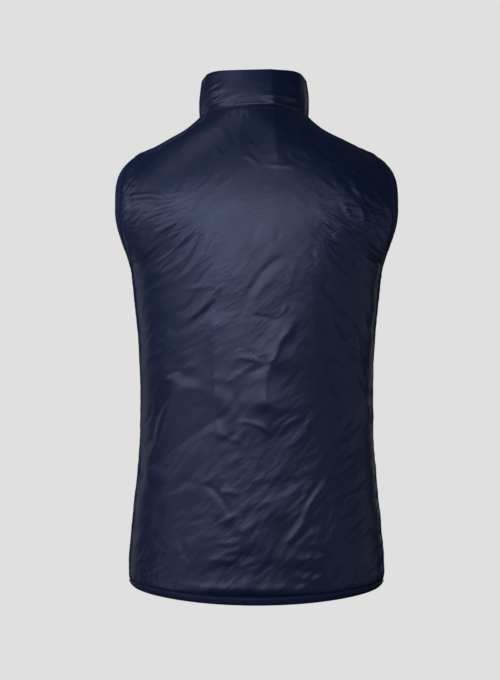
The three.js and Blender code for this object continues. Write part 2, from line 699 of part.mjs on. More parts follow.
// Notches in the tapes for the slider's neck and the box at the zip's foot
const neckNotch = block(
  -SLIDER_NECK.halfWidth - SEAM_GAP,
  SLIDER_NECK.halfWidth + SEAM_GAP,
  SLIDER_NECK.low - SEAM_GAP,
  SLIDER_NECK.high + 3 * SEAM_GAP,
  -SLIDER.plateIn,
  SLIDER.plateIn,
).applyMatrix4(sliderFrame);
const boxBottom = -line[1].p.distanceTo(line[0].p) / 2;
const boxNotch = block(
  -ZIP_BOX.halfWidth - SEAM_GAP,
  ZIP_BOX.halfWidth + SEAM_GAP,
  boxBottom - ZIP_BOX.height,
  boxBottom + ZIP_BOX.height + SEAM_GAP,
  -2 * ZIP_BOX.halfDepth,
  2 * ZIP_BOX.halfDepth,
).applyMatrix4(boxFrame);
const notched = (geometry) =>
  fromManifold([neckNotch, boxNotch].map(toManifold).reduce((rest, notch) => rest.subtract(notch), toManifold(geometry)));

const zipBox = block(
  -ZIP_BOX.halfWidth,
  ZIP_BOX.halfWidth,
  boxBottom,
  boxBottom + ZIP_BOX.height,
  -ZIP_BOX.halfDepth,
  ZIP_BOX.halfDepth,
).applyMatrix4(boxFrame);

const pivot = new Vector3(0, 0, PIVOT_OUT).applyMatrix4(sliderFrame);

// Materials
const shellCloth = new THREE.MeshStandardMaterial({ color: 0x1b2138, roughness: 0.42, metalness: 0 });
const bindingCloth = new THREE.MeshStandardMaterial({ color: 0x10162b, roughness: 0.75, metalness: 0 });
const tapeCloth = new THREE.MeshStandardMaterial({ color: 0x0f1428, roughness: 0.8, metalness: 0 });
const zipMetal = new THREE.MeshStandardMaterial({ color: 0x14161d, roughness: 0.35, metalness: 0.8 });

const vest = new THREE.Group();
function addPiece(name, geometry, material) {
  const mesh = new THREE.Mesh(geometry, material);
  mesh.name = name;
  vest.add(mesh);
  return mesh;
}

addPiece("back_panel", paddedWall(grids.back), shellCloth);
addPiece("front_panel_left", paddedWall(grids.front_left), shellCloth);
addPiece("front_panel_right", paddedWall(grids.front_right), shellCloth);
addPiece("collar", paddedWall(grids.collar), shellCloth);
addPiece("armhole_binding_left", bindingWall(grids.armhole_binding_left), bindingCloth);
addPiece("armhole_binding_right", bindingWall(grids.armhole_binding_right), bindingCloth);
addPiece("hem_binding", bindingWall(grids.hem_binding), bindingCloth);
addPiece("zip_tape_left", notched(tapeLeft.geometry), tapeCloth);
addPiece("zip_tape_right", notched(tapeRight.geometry), tapeCloth);
addPiece("zip_box", zipBox, zipMetal);
addPiece("zip_slider", sliderGeometry().applyMatrix4(sliderFrame), zipMetal);
addPiece("zip_pull", pullGeometry(), zipMetal).position.copy(pivot);

export default vest;
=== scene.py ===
import math

import bmesh
import bpy
import numpy as np
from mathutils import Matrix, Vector


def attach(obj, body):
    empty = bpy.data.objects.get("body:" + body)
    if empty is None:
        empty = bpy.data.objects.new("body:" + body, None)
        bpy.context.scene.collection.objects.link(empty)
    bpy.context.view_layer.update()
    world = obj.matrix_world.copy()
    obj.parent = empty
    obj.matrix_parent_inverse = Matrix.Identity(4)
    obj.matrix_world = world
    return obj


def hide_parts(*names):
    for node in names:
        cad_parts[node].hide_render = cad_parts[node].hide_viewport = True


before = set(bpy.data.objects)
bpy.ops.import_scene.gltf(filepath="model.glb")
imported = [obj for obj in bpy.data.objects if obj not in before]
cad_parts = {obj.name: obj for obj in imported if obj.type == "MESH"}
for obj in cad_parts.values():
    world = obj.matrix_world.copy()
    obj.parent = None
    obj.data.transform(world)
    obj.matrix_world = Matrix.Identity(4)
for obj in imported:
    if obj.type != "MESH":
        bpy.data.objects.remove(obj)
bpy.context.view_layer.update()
BODY = "vest"

# Form, in millimetres, as in the solids
BACK, FRONT = 1, -1
ZIP_HALF = 6.5
NECK_SHARE = 0.52
CORNER = 7
GUIDE = 0.6

# columns: side z, half width, back z, back y, front z, front y, fullness
TORSO = [
    (-632, 174.5, -645, 112, -635, -115, 0.58),
    (-604, 174.2, -615, 114, -607, -116, 0.58),
    (-524, 167.2, -527, 112, -524, -113, 0.56),
    (-441, 160.3, -441, 111.5, -441, -112, 0.53),
    (-373, 159.0, -373, 112.5, -373, -114, 0.53),
    (-304, 162.0, -304, 115, -304, -118, 0.55),
    (-250, 167.0, -252, 117.5, -252, -121, 0.59),
]
CORNER_FULLNESS = 0.62
# columns: climb, back z, back y, front z, front y, turn, fall, reach
ARM_ROWS = [
    (-90, -207, 119.5, -207, -122, 90, 0, 74),
    (-60, -176, 120.5, -180, -120, 80, 2, 56),
    (-30, -140, 119, -152, -115, 62, 6, 52),
    (0, -99, 114, -126, -107, 50, 10, 54),
    (30, -59, 104, -102, -98, 38, 16, 56),
    (60, -22, 90, -80, -88, 22, 22, 60),
]
ARM_FULLNESS = 0.5
ARM_MID_Z = -129.5
# height, back depth, front depth, x at the foot, x at the shoulder, bulge
ARM_EDGE = (67.5, 55, 62, 174.5, 175.5, 16.5)
ARM_SEAM = (76.5, 64, 70, 172.0, 165.5, 15.5)
SHOULDER_BEND = (82, -17, 112, -31)
# half width, mid y, half depth, back z, side z, front z, side fall, squareness
NECK = (74.5, -3, 77, 8.5, 0, -47, 14, 1.0)
COLLAR_TOP = (71, -13, 73, 60, 59, 20, 7, 0.9)
COLLAR_BOW = 2.2
BINDING_WIDTH = 11
HEM_TUCK, HEM_SIDE_TUCK = 1.5, 6.5
NECK_LEAN = 3.2  # the collar stands this far to the wearer's left in the photograph


def smooth(t):
    t = np.clip(t, 0.0, 1.0)
    return t * t * (3 - 2 * t)


def unit(v):
    return v / np.linalg.norm(v, axis=-1, keepdims=True)


def length_along(line):
    """Distance along a line from its first point to each point."""
    return np.concatenate([[0], np.cumsum(np.linalg.norm(np.diff(line, axis=0), axis=1))])


def taken_at(at, run, values):
    """Values along a line, read at the distances in at."""
    return np.stack([np.interp(at, run, values[:, k]) for k in range(3)], -1)


def evened(values, times):
    """Each row but the first and last, averaged with its neighbours."""
    for _ in range(times):
        values[1:-1] = (values[:-2] + 2 * values[1:-1] + values[2:]) / 4
    return values


def arm_point(climb, side, ring):
    height, back, front, low, high, swell = ring
    up, out = np.sin(np.radians(climb)), np.maximum(0, np.cos(np.radians(climb)))
    bulge = swell * np.where(up < 0, out**3, out**2) * (1 + np.maximum(0, up) ** 2)
    x = low + (high - low) * (1 + up) / 2 + bulge
    y = (back if side == BACK else -front) * out
    return np.stack([x, y, ARM_MID_Z + height * up], -1)


def ring_point(ring, angle):
    half, mid_y, depth, back_z, side_z, front_z, fall, square = ring
    a = np.radians(angle)
    forward = np.maximum(0, np.abs(angle) - 90) / 90
    drop = (back_z - side_z) * (1 - np.maximum(0, np.cos(a)))
    drop = drop + fall * forward + (side_z - front_z - fall) * smooth(forward)

    def squared(v):
        return np.sign(v) * np.abs(v) ** square

    return np.stack([half * squared(np.sin(a)), mid_y + depth * squared(np.cos(a)), back_z - drop], -1)


ZIP_ANGLE = 180 - math.degrees(math.asin(ZIP_HALF / NECK[0]))


CURVE_POINTS = 400


def bezier(p0, p1, p2, p3, share):
    t = np.linspace(0, 1, CURVE_POINTS)[:, None]
    p = (1 - t) ** 3 * p0 + 3 * (1 - t) ** 2 * t * p1 + 3 * (1 - t) * t * t * p2 + t**3 * p3
    run = length_along(p)
    at = np.interp(share * run[-1], run, np.arange(len(run)))
    i = np.minimum(at.astype(int), len(run) - 2)
    return p[i] + (p[i + 1] - p[i]) * (at - i)[:, None]


def guide_rows(side, start_x, share):
    share = np.asarray(share, float)
    rows = []
    for side_z, half, bz, by, fz, fy, full in TORSO:
        y, z = (by, bz) if side == BACK else (fy, fz)
        start, end = np.array([start_x, y, z], float), np.array([half, 0, side_z], float)
        flat = full * (half - start_x)
        rows.append(bezier(start, start + [flat, 0, 0], end + [0, full * y, 0], end, share))
    for climb, bz, by, fz, fy, turn, fall, reach in ARM_ROWS:
        y, z = (by, bz) if side == BACK else (fy, fz)
        start, end = np.array([start_x, y, z], float), arm_point(climb, side, ARM_SEAM)
        t, f = math.radians(turn), math.radians(fall)
        heading = np.array([math.cos(t) * math.cos(f), -side * math.sin(t) * math.cos(f), -math.sin(f)])
        flat = (CORNER_FULLNESS if climb == -90 else ARM_FULLNESS) * (end[0] - start_x)
        rows.append(bezier(start, start + [flat, 0, 0], end - heading * reach, end, share))
    neck, tip = ring_point(NECK, 90.0), arm_point(90.0, side, ARM_SEAM)
    nx, nz, fx, fz = SHOULDER_BEND
    line = bezier(
        neck,
        np.array([nx, neck[1], nz]),
        np.array([fx, neck[1] / 2, fz]),
        tip,
        np.clip((share - NECK_SHARE) / (1 - NECK_SHARE), 0, 1),
    )
    mid = 0 if side == BACK else ZIP_ANGLE
    round_neck = ring_point(NECK, mid + (90 - mid) * np.clip(share / NECK_SHARE, 0, 1))
    rows.append(np.where((share <= NECK_SHARE)[:, None], round_neck, line))
    return np.array(rows)


guide_line = guide_rows(BACK, 0, [GUIDE])[:, 0]
KNOTS = length_along(guide_line)


def lofted(rows, share, spans, ts):
    """Points at the given spans (index) and fractions, for every column."""
    last = len(rows) - 1
    h = np.diff(KNOTS)
    slope = (rows[1:] - rows[:-1]) / h[:, None, None]
    middle = np.zeros_like(rows)
    for i in range(1, last):
        middle[i] = (slope[i] * h[i - 1] + slope[i - 1] * h[i]) / (h[i - 1] + h[i])
    leave, arrive = middle.copy(), middle.copy()
    leave[0] = 1.5 * slope[0] - 0.5 * middle[1]
    arrive[last] = 1.5 * slope[last - 1] - 0.5 * middle[last - 1]
    w = smooth((share - 0.75) / 0.25)[:, None]
    c = CORNER
    leave[c] = middle[c] * (1 - w) + (1.5 * slope[c] - 0.5 * middle[c + 1]) * w
    arrive[c] = middle[c] * (1 - w) + (1.5 * slope[c - 1] - 0.5 * middle[c - 1]) * w
    t = ts[:, None, None]
    a, b = rows[spans], rows[spans + 1]
    ta, tb = leave[spans] * h[spans][:, None, None], arrive[spans + 1] * h[spans][:, None, None]
    return (
        a * (2 * t**3 - 3 * t**2 + 1)
        + b * (3 * t**2 - 2 * t**3)
        + ta * (t**3 - 2 * t**2 + t)
        + tb * (t**3 - t**2)
    )


STEP = 2.0
ARM_BLEND = 0.48 / 7  # share of the width in which a row bends to meet the armhole's own curve
SPAN_ROWS = np.maximum(1, np.round(np.diff(KNOTS) / STEP)).astype(int)
SPANS = np.concatenate([np.full(n, i) for i, n in enumerate(SPAN_ROWS)] + [[len(SPAN_ROWS) - 1]])
FRACTIONS = np.concatenate([np.arange(n) / n for n in SPAN_ROWS] + [[1.0]])
CORNER_ROW = int(SPAN_ROWS[:CORNER].sum())
TOP_ROW = len(SPANS) - 1
NECK_COLUMNS, SHOULDER_COLUMNS = 50, 48
SHARES = np.concatenate(
    [
        np.linspace(0, NECK_SHARE, NECK_COLUMNS + 1),
        np.linspace(NECK_SHARE, 1, SHOULDER_COLUMNS + 1)[1:],
    ]
)
COLUMNS = len(SHARES) - 1


def half_panel(side, start_x):
    points = lofted(guide_rows(side, start_x, SHARES), SHARES, SPANS, FRACTIONS)
    climbs = np.array([r[0] for r in ARM_ROWS] + [90.0])
    above = np.arange(CORNER_ROW, TOP_ROW + 1)
    k = SPANS[above] - CORNER
    climb = climbs[k] + (climbs[k + 1] - climbs[k]) * FRACTIONS[above]
    seam, edge = arm_point(climb, side, ARM_SEAM), arm_point(climb, side, ARM_EDGE)
    near = np.clip((SHARES - (1 - ARM_BLEND)) / ARM_BLEND, 0, 1)
    shift = seam - points[above, -1]
    points[above] += shift[:, None, :] * near[None, :, None]
    return points, edge


LEFT_BACK, ARM_EDGE_BACK = half_panel(BACK, 0.0)
LEFT_FRONT, ARM_EDGE_FRONT = half_panel(FRONT, ZIP_HALF)
MIRROR = np.array([-1.0, 1, 1])


def grid_normals(p):
    across = np.gradient(p, axis=1)
    up = np.gradient(p, axis=0)
    n = np.cross(across, up)
    return n / np.maximum(np.linalg.norm(n, axis=-1, keepdims=True), 1e-9)


def run_along(p, axis):
    d = np.linalg.norm(np.diff(p, axis=axis), axis=-1)
    pad = [(0, 0), (0, 0)]
    pad[axis] = (1, 0)
    return np.pad(np.cumsum(d, axis=axis), pad)


# Noise
def noise2(x, y, seed):
    """Gradient noise over a plane, about -0.7 to 0.7."""
    table = np.random.RandomState(seed)
    perm = table.permutation(512)
    angle = table.uniform(0, 2 * np.pi, 512)
    xi, yi = np.floor(x).astype(int), np.floor(y).astype(int)
    xf, yf = x - xi, y - yi

    def corner(dx, dy):
        h = perm[(perm[(xi + dx) % 512] + yi + dy) % 512]
        return np.cos(angle[h]) * (xf - dx) + np.sin(angle[h]) * (yf - dy)

    u, v = xf**3 * (xf * (xf * 6 - 15) + 10), yf**3 * (yf * (yf * 6 - 15) + 10)
    a = corner(0, 0) * (1 - u) + corner(1, 0) * u
    b = corner(0, 1) * (1 - u) + corner(1, 1) * u
    return a * (1 - v) + b * v


# Folds
# Each runs from (x1, z1) to (x2, z2). Left is as in a plan with x to the right and z up, seen from the start.
# bend is how far the middle bows to the left, and above 1 lean makes the left flank the gentle one.
# columns: x1, z1, x2, z2, bend, width, height, lean
BACK_FOLDS = [
    (178, -114, 125, -113, -3, 4, 1.4, 1.4),
    (175, -122, 123, -122, -4, 3.6, -1.2, 1),
    (168, -151, 148, -136, 0, 2.8, -0.9, 1),
    (176, -148, 160, -138, 0, 2.4, -0.8, 1),
    (172, -165, 158, -151, 0, 2.4, 0.9, 1.2),
    (163, -170, 132, -152, 3, 3.2, -1.1, 1.2),
    (170, -186, 161, -167, 0, 4, -1.1, 1),
    (134, -195, 98, -154, 3, 3.2, -0.9, 1.2),
    (128, -200, 91, -159, 3, 3.6, 0.9, 1.2),
    (106, -218, 73, -167, 5, 3.2, -1.1, 1.3),
    (98, -220, 67, -174, 4, 3.6, 0.8, 1.2),
    (111, -208, 85, -178, 3, 3.2, 0.6, 1),
    (84, -234, 58, -205, 0, 2.4, -0.8, 1),
    (143, -200, 128, -177, 0, 3.2, -0.6, 1),
    (152, -194, 138, -168, 2, 4, 0.7, 1),
    (95, -144, 68, -118, 6, 7.2, 0.7, 1),
    (118, -164, 108, -152, 0, 2.4, -0.6, 1),
    (68, -188, 55, -164, 0, 3.2, -0.4, 1),
    (179, -89, 163, -96, 0, 3.2, -0.8, 1),
    (169, -77, 157, -87, 0, 2.4, -0.7, 1),
    (155, -65, 139, -78, 0, 2.4, -0.6, 1),
    (145, -55, 127, -66, 0, 2.4, -0.6, 1),
    (112, -41, 95, -53, 0, 3.2, 0.6, 1),
    (130, -49, 116, -59, 0, 2.4, 0.5, 1),
    (106, -268, 78, -241, 4, 4.8, -1.3, 1.3),
    (112, -292, 48, -243, 6, 5.6, -1.7, 1.5),
    (98, -281, 62, -244, 5, 4.8, 1.2, 1.2),
    (95, -237, 49, -234, -2, 3.2, 0.5, 1),
    (148, -292, 138, -277, 0, 2.8, 0.8, 1),
    (155, -264, 136, -241, 3, 4, -0.7, 1),
    (160, -218, 145, -198, 0, 4, -0.7, 1),
    (13, -251, -35, -194, -8, 6, -1.1, 1.4),
    (4, -256, -38, -204, -7, 8, 0.8, 1),
    (29, -295, 9, -250, -3, 5, -0.7, 1),
    (7, -178, 0, -154, 0, 4, -0.5, 1),
    (-27, -172, -31, -154, 0, 3.5, -0.5, 1),
    (-43, -231, -51, -204, 0, 4, 0.5, 1),
    (9, -42, -8, -49, 2, 2.2, 0.6, 1),
    (4, -46, -10, -50, 0, 2.2, -0.5, 1),
    (10, -54, -2, -63, -1, 2.4, -0.35, 1),
    (15, -60, -1, -72, -2, 2.6, 0.4, 1),
    (20, -62, 6, -72, -1, 2.6, -0.2, 1),
    (-14, -71, -50, -72, 2, 3, 0.42, 1.2),
    (-6, -76, -44, -78, -1, 3.2, -0.25, 1),
    (-30, -53, -48, -60, 1, 2.4, -0.3, 1),
    (-32, -59, -50, -66, 1, 2.4, -0.3, 1),
    (70, -20, 48, -60, 3, 3, 0.3, 1),
    (78, -30, 58, -66, 3, 3, -0.25, 1),
    (60, -28, 44, -62, 2, 2.6, 0.25, 1),
    (34, -26, 24, -48, 1, 2.6, -0.3, 1),
    (72, -21, 39, -53, 4, 3.2, -0.35, 1),
    (63, -15, 47, -33, 2, 2.8, -0.5, 1),
    (53, -19, 37, -29, 0, 3.5, 0.5, 1),
    (74, -41, 65, -55, 0, 3.2, 0.5, 1),
    (-61, -45, -68, -60, 0, 2.4, 0.5, 1),
    (-54, -31, -51, -62, 0, 3.5, -0.4, 1),
    (-38, -47, -42, -66, 0, 3, -0.35, 1),
    (-38, -15, -59, -19, 0, 3, 0.7, 1),
    (-41, -25, -57, -23, 0, 3, -0.6, 1),
    (-94, -69, -118, -54, 3, 3.2, 0.8, 1),
    (-97, -58, -132, -47, 3, 3.2, -0.8, 1),
    (-136, -48, -152, -62, 0, 3.2, 0.7, 1),
    (-78, -41, -91, -58, 0, 3.2, -0.5, 1),
    (-114, -78, -141, -88, 0, 4.8, -0.6, 1),
    (-109, -123, -123, -146, 0, 3.2, -0.9, 1),
    (-116, -127, -127, -144, 0, 2.4, 0.9, 1),
    (-138, -127, -145, -144, 0, 3.2, 1.1, 1.2),
    (-154, -144, -173, -180, 4, 4, -1.7, 1.4),
    (-142, -132, -159, -163, 4, 3.2, 1, 1.2),
    (-151, -115, -182, -138, 3, 4, -1, 1.2),
    (-138, -108, -166, -131, 3, 3.2, -0.9, 1.2),
    (-146, -110, -174, -130, 3, 3.2, 0.8, 1),
    (-130, -101, -142, -112, 0, 2.8, 0.7, 1),
    (-84, -143, -105, -162, 3, 3.2, -0.8, 1.2),
    (-80, -161, -102, -180, 2, 3.2, -0.6, 1.2),
    (-91, -144, -114, -168, 3, 3.2, 0.6, 1),
    (-124, -144, -162, -186, 5, 3.2, -0.9, 1.3),
    (-131, -144, -166, -179, 4, 3.2, 0.7, 1),
    (-129, -164, -158, -200, 4, 3.2, -0.9, 1.3),
    (-116, -177, -145, -212, 4, 3.2, -0.8, 1.3),
    (-121, -170, -151, -202, 4, 2.8, 0.6, 1),
    (-97, -191, -115, -206, 2, 3.2, -0.7, 1),
    (-104, -164, -124, -194, 3, 3.2, 0.6, 1),
    (-74, -178, -75, -198, 0, 3.2, -0.5, 1),
    (-90, -230, -109, -252, 4, 4, -1.2, 1.2),
    (-100, -264, -112, -299, 3, 3.2, 0.9, 1.3),
    (-144, -274, -155, -300, 0, 3.2, 0.9, 1),
    (-114, -244, -134, -284, 4, 4, -0.7, 1),
    (-39, -257, -23, -275, -3, 4, 1.1, 1),
    (-48, -281, -37, -301, 0, 5, 0.9, 1),
    (5, -272, -19, -275, 0, 3, -0.8, 1),
    (-18, -281, -35, -267, 0, 4, -0.8, 1),
    (-88, -204, -104, -224, 0, 4, -0.5, 1),
    (122, -359, 104, -351, 0, 3.5, 1.1, 1.2),
    (104, -351, 78, -327, 3, 6, 0.8, 1.2),
    (145, -328, 128, -320, 0, 3, 0.9, 1),
    (151, -335, 132, -332, 0, 4, -0.8, 1),
    (135, -434, 100, -367, -5, 5, 1.6, 1.6),
    (141, -432, 110, -374, -5, 5, -0.8, 1),
    (120, -496, 62, -421, 3, 5, 0.9, 1.4),
    (125, -511, 72, -464, 5, 6, -1.3, 1),
    (127, -513, 82, -491, -3, 6, -0.7, 1),
    (150, -375, 128, -356, 2, 4, -0.7, 1),
    (153, -449, 133, -423, 3, 3.5, -0.8, 1),
    (155, -465, 136, -446, 3, 3.5, 0.8, 1),
    (153, -418, 142, -390, 3, 3.5, -0.8, 1),
    (148, -311, 138, -294, 0, 2.8, 0.8, 1),
    (132, -311, 115, -291, 2, 3.2, 0.7, 1),
    (152, -477, 132, -457, 3, 4, -0.7, 1),
    (118, -311, 102, -297, 0, 4, -0.7, 1),
    (162, -523, 142, -477, 5, 7, 0.7, 1),
    (-51, -284, -22, -327, 4, 8, 1, 1.8),
    (-22, -327, -12, -386, 5, 7, 0.6, 2.2),
    (22, -347, -12, -337, 3, 4, -0.9, 1),
    (25, -328, -5, -333, -2, 4, 0.9, 1),
    (31, -351, 9, -344, 0, 4, 0.7, 1),
    (30, -374, 35, -438, -9, 6, -1.1, 1.2),
    (23, -413, -19, -428, -5, 3, 0.7, 1),
    (-31, -428, -59, -407, -4, 3, 1, 1),
    (-17, -423, -46, -400, -5, 3.5, -0.6, 1),
    (19, -450, 18, -524, 2, 5, -0.9, 1),
    (66, -496, 38, -531, -4, 4, -1.4, 1.2),
    (49, -507, 25, -508, -2, 4, 0.9, 1),
    (49, -547, 28, -535, 0, 4, 1.1, 1.2),
    (72, -494, 49, -477, 3, 5, 0.7, 1),
    (49, -427, 22, -437, 3, 4, 0.6, 1),
    (-78, -354, -94, -351, 0, 3.5, 0.6, 1),
    (-98, -370, -105, -387, 0, 3.5, 0.7, 1),
    (62, -357, 22, -361, -3, 6, 0.5, 1),
    (-31, -507, -52, -487, 0, 5, -0.7, 1),
    (-38, -574, -65, -536, 3, 5, 1.4, 1.4),
    (-65, -536, -86, -500, -3, 4, 1.3, 1.4),
    (-48, -507, -75, -496, 2, 4, 0.6, 1),
    (-43, -579, -76, -543, 3, 5, -0.9, 1),
    (-111, -287, -142, -372, 4, 2.8, 1.2, 1.5),
    (-142, -372, -152, -402, 0, 3.5, 1.2, 1.3),
    (-134, -289, -151, -357, 3, 3.2, 0.8, 1.2),
    (-111, -356, -128, -425, 4, 5, -0.9, 1),
    (-137, -460, -129, -504, -3, 4, 1.1, 1.2),
    (-112, -433, -134, -438, 1, 4.5, -0.4, 1),
    (-110, -443, -130, -442, 0, 4, 0.7, 1),
    (-65, -557, -81, -573, 0, 5, -0.6, 1),
    (-100, -523, -109, -550, 3, 6, 0.6, 1),
    (-128, -504, -121, -543, 0, 6, -0.6, 1),
    (-65, -477, -91, -464, 3, 5, 0.6, 1),
    (-144, -477, -151, -523, 3, 6, 0.7, 1),
    (136, -573, 101, -604, -4, 4, -1, 1.2),
    (124, -576, 94, -601, 3, 4, 0.8, 1),
    (116, -609, 104, -628, 0, 4, 1, 1),
    (146, -616, 134, -629, 0, 4, -0.9, 1),
    (152, -609, 140, -625, 0, 3.5, 0.8, 1),
    (103, -573, 88, -597, 0, 5, -0.7, 1),
    (132, -590, 112, -620, 2, 4, -0.8, 1),
    (85, -612, -55, -610, -9, 9, -0.7, 1.2),
    (98, -638, -74, -641, -6, 12, 2.1, 1),
    (92, -629, 30, -632, 3, 5, 0.6, 1),
    (-51, -583, -95, -591, -4, 5, -0.9, 1),
    (-53, -619, -105, -618, 3, 4, 1, 1),
    (-48, -606, -84, -610, 3, 4, -0.8, 1),
    (49, -574, 21, -569, 2, 4, 0.8, 1),
    (74, -597, 21, -600, -3, 5, 0.7, 1),
    (22, -590, 2, -593, 0, 5, -0.6, 1),
    (-45, -592, -84, -594, 2, 4, 0.8, 1),
    (-104, -600, -144, -597, 2, 5, -0.7, 1),
    (-118, -617, -151, -610, 2, 5, 0.6, 1),
    (82, -577, 72, -557, 0, 5, 0.7, 1),
    (108, -550, 88, -530, 3, 6, -0.6, 1),
    (148, -557, 128, -530, 4, 6, -0.6, 1),
]
# Sharp creases between broad planes of the cloth. left and right are the widths of their two flanks.
# columns: x1, z1, x2, z2, bend, left, right, height
BACK_CREASES = [
    (52, -410, 160, -490, 3, 36, 13, -3.4),
    (110, -362, 150, -480, -5, 12, 42, 4.8),
    (118, -344, 92, -341, 0, 7, 14, 1.6),
    (-40, -296, -24, -327, 3, 12, 16, 2.6),
    (-24, -327, -11, -387, 4, 16, 32, 3.2),
    (-11, -387, -17, -415, 0, 14, 30, 2.2),
    (58, -285, 53, -425, 0, 9, 28, 2.2),
    (-108, -291, -128, -334, 2, 8, 9, 1.6),
    (-128, -334, -153, -406, 3, 9, 7, 2),
    (-132, -300, -150, -372, 3, 6, 6, 1.3),
    (-69, -412, -53, -436, -3, 5, 6, 0.8),
    (-53, -436, -36, -443, -2, 5, 6, 0.5),
    (-99, -380, -121, -436, 0, 9, 10, 1.3),
    (-24, 22, -27, -22, 0, 45, 26, 1.1),
    (-24, 22, -28, -38, 0, 45, 26, 1.1),
    (-24, 22, -28, -54, 0, 45, 26, 1.1),
    (-24, 22, -29, -70, 0, 45, 26, 1.1),
    (20, -555, -20, -530, 4, 14, 20, 2),
    (-60, -545, -92, -492, 4, 9, 12, 0.9),
]
FRONT_FOLDS = [
    (160, -178, 112, -158, 4, 9, -1.7, 1.3),
    (152, -214, 96, -250, -5, 11, 1.8, 1.5),
    (118, -330, 52, -372, 6, 11, -2, 1.4),
    (136, -426, 60, -398, -5, 12, 2.3, 1.6),
    (128, -540, 58, -488, 6, 11, -1.8, 1.3),
    (84, -120, 58, -190, 5, 10, 1.3, 1.3),
    (38, -262, 14, -300, 0, 8, -1.2, 1),
    (44, -440, 12, -470, 3, 8, 1.3, 1),
    (98, -610, 20, -616, 3, 10, 1.7, 1),
    (-158, -172, -108, -150, -4, 9, -1.7, 1.3),
    (-142, -262, -70, -224, 5, 11, 2.1, 1.5),
    (-126, -352, -64, -404, -6, 11, -2, 1.4),
    (-140, -470, -72, -440, 5, 12, 2.1, 1.6),
    (-108, -592, -40, -548, -5, 10, 1.8, 1.3),
    (-80, -112, -54, -176, -4, 9, 1.3, 1.3),
    (-34, -300, -12, -340, 0, 8, -1.2, 1),
    (-40, -500, -12, -520, 2, 8, 1.2, 1),
    (-96, -614, -20, -620, 3, 10, 1.7, 1),
]


FOLD_END = 0.9  # how far a fold fades past its ends, as a share of its width
CREASE_END = 12  # the same for a crease, in millimetres
BIG_FOLDS = 0.95  # share of the folds' height that is laid on the panels
BORDER_FADE = 9  # folds reach full height this far from a side seam, and 4 less from the hem and the top


def near_line(x, z, x1, z1, x2, z2, bend):
    """Share of the way along a bowed line, distance to its left, and distance past its ends."""
    dx, dz = x2 - x1, z2 - z1
    length = math.hypot(dx, dz)
    along = ((x - x1) * dx + (z - z1) * dz) / length**2
    across = ((z - z1) * dx - (x - x1) * dz) / length
    inside = np.clip(along, 0, 1)
    across = across - bend * 4 * inside * (1 - inside)
    past = (np.maximum(0, -along) + np.maximum(0, along - 1)) * length
    return inside, across, past


def fold_height(folds, x, z):
    total = np.zeros_like(x)
    for x1, z1, x2, z2, bend, width, height, lean in folds:
        inside, across, past = near_line(x, z, x1, z1, x2, z2, bend)
        w = width * np.where(across > 0, lean, 1 / lean)
        taper = 0.35 + 0.65 * (4 * inside * (1 - inside)) ** 0.6
        total += height * taper * np.exp(-((across / w) ** 2) - (past / (FOLD_END * width)) ** 2)
    return total


def crease_height(creases, x, z):
    total = np.zeros_like(x)
    for x1, z1, x2, z2, bend, left, right, height in creases:
        _, across, past = near_line(x, z, x1, z1, x2, z2, bend)
        away = np.sqrt(across**2 + 1.0) / np.where(across > 0, left, right)
        total += height * np.exp(-away - (past / CREASE_END) ** 2)
    return total


# columns: size across, length as a multiple of it, height, seed, 1 where the height varies over the panel
CRUMPLES = (
    (38, 2.3, 0.95, 3, 0),
    (18, 2.8, 0.46, 5, 1),
    (8.5, 3.2, 0.26, 7, 1),
)
TILT_LEFT, TILT_RIGHT = 0.80, -0.75  # slant of the buckles, in radians


def crumple(x, z, seed):
    """Soft irregular buckles of a padded shell, longer along their crease than across it."""
    warp_x = x + 14 * noise2(x / 70, z / 70, seed + 1)
    warp_z = z + 14 * noise2(x / 70 + 9, z / 70, seed + 2)
    right = smooth((-x - 20) / 70) * smooth((z + 420) / 120)
    fine = 0.9 * smooth((-z - 440) / 100) + 0.6 * smooth((np.abs(x) - 80) / 50) + 0.8 * smooth((-x - 35) / 30)
    total = np.zeros_like(x)
    for tilt, weight in ((TILT_LEFT, 1 - right), (TILT_RIGHT, right)):
        c = warp_x * -math.cos(tilt) + warp_z * math.sin(tilt)
        q = warp_x * math.sin(tilt) + warp_z * math.cos(tilt)
        part = np.zeros_like(x)
        for size, length, height, s, varies in CRUMPLES:
            n = noise2(c / (size * length) + s, q / size, seed + s)
            part += height * (0.45 - 2 * np.sqrt(n * n + 0.0009)) * (0.7 + fine if varies else 1)
        total += weight * part
    return total


# Gathers at the seams of a panel. columns: pitch, reach, height, seed, slant
HEM_GATHERS = (10, 20, 1.0, 21, 0)
TOP_GATHERS = (9, 16, 0.8, 23, 0)
ARM_GATHERS = (8, 30, 1.3, 25, -0.9)
ARM_FINE_GATHERS = (4.5, 20, 0.5, 26, -0.9)
SIDE_GATHERS = (14, 12, 0.7, 27, 0)
ZIP_GATHERS = (12, 13, 0.8, 29, 0)
PANEL_WALL = (3.0, 2.2)  # wall at a seam, and how much more it is away from one


def pucker(t, d, gathers, first_seed=0):
    """Short gathers that stand across a seam: t runs along it and d away from it."""
    pitch, reach, height, seed, slant = gathers
    seed += first_seed
    n = noise2((t + slant * d) / pitch, d / (reach * 1.6), seed)
    n += 0.6 * noise2((t + slant * d) / (pitch * 0.47), d / reach, seed + 11)
    return height * n * np.exp(-((d / reach) ** 1.3)) * smooth(d / 4)


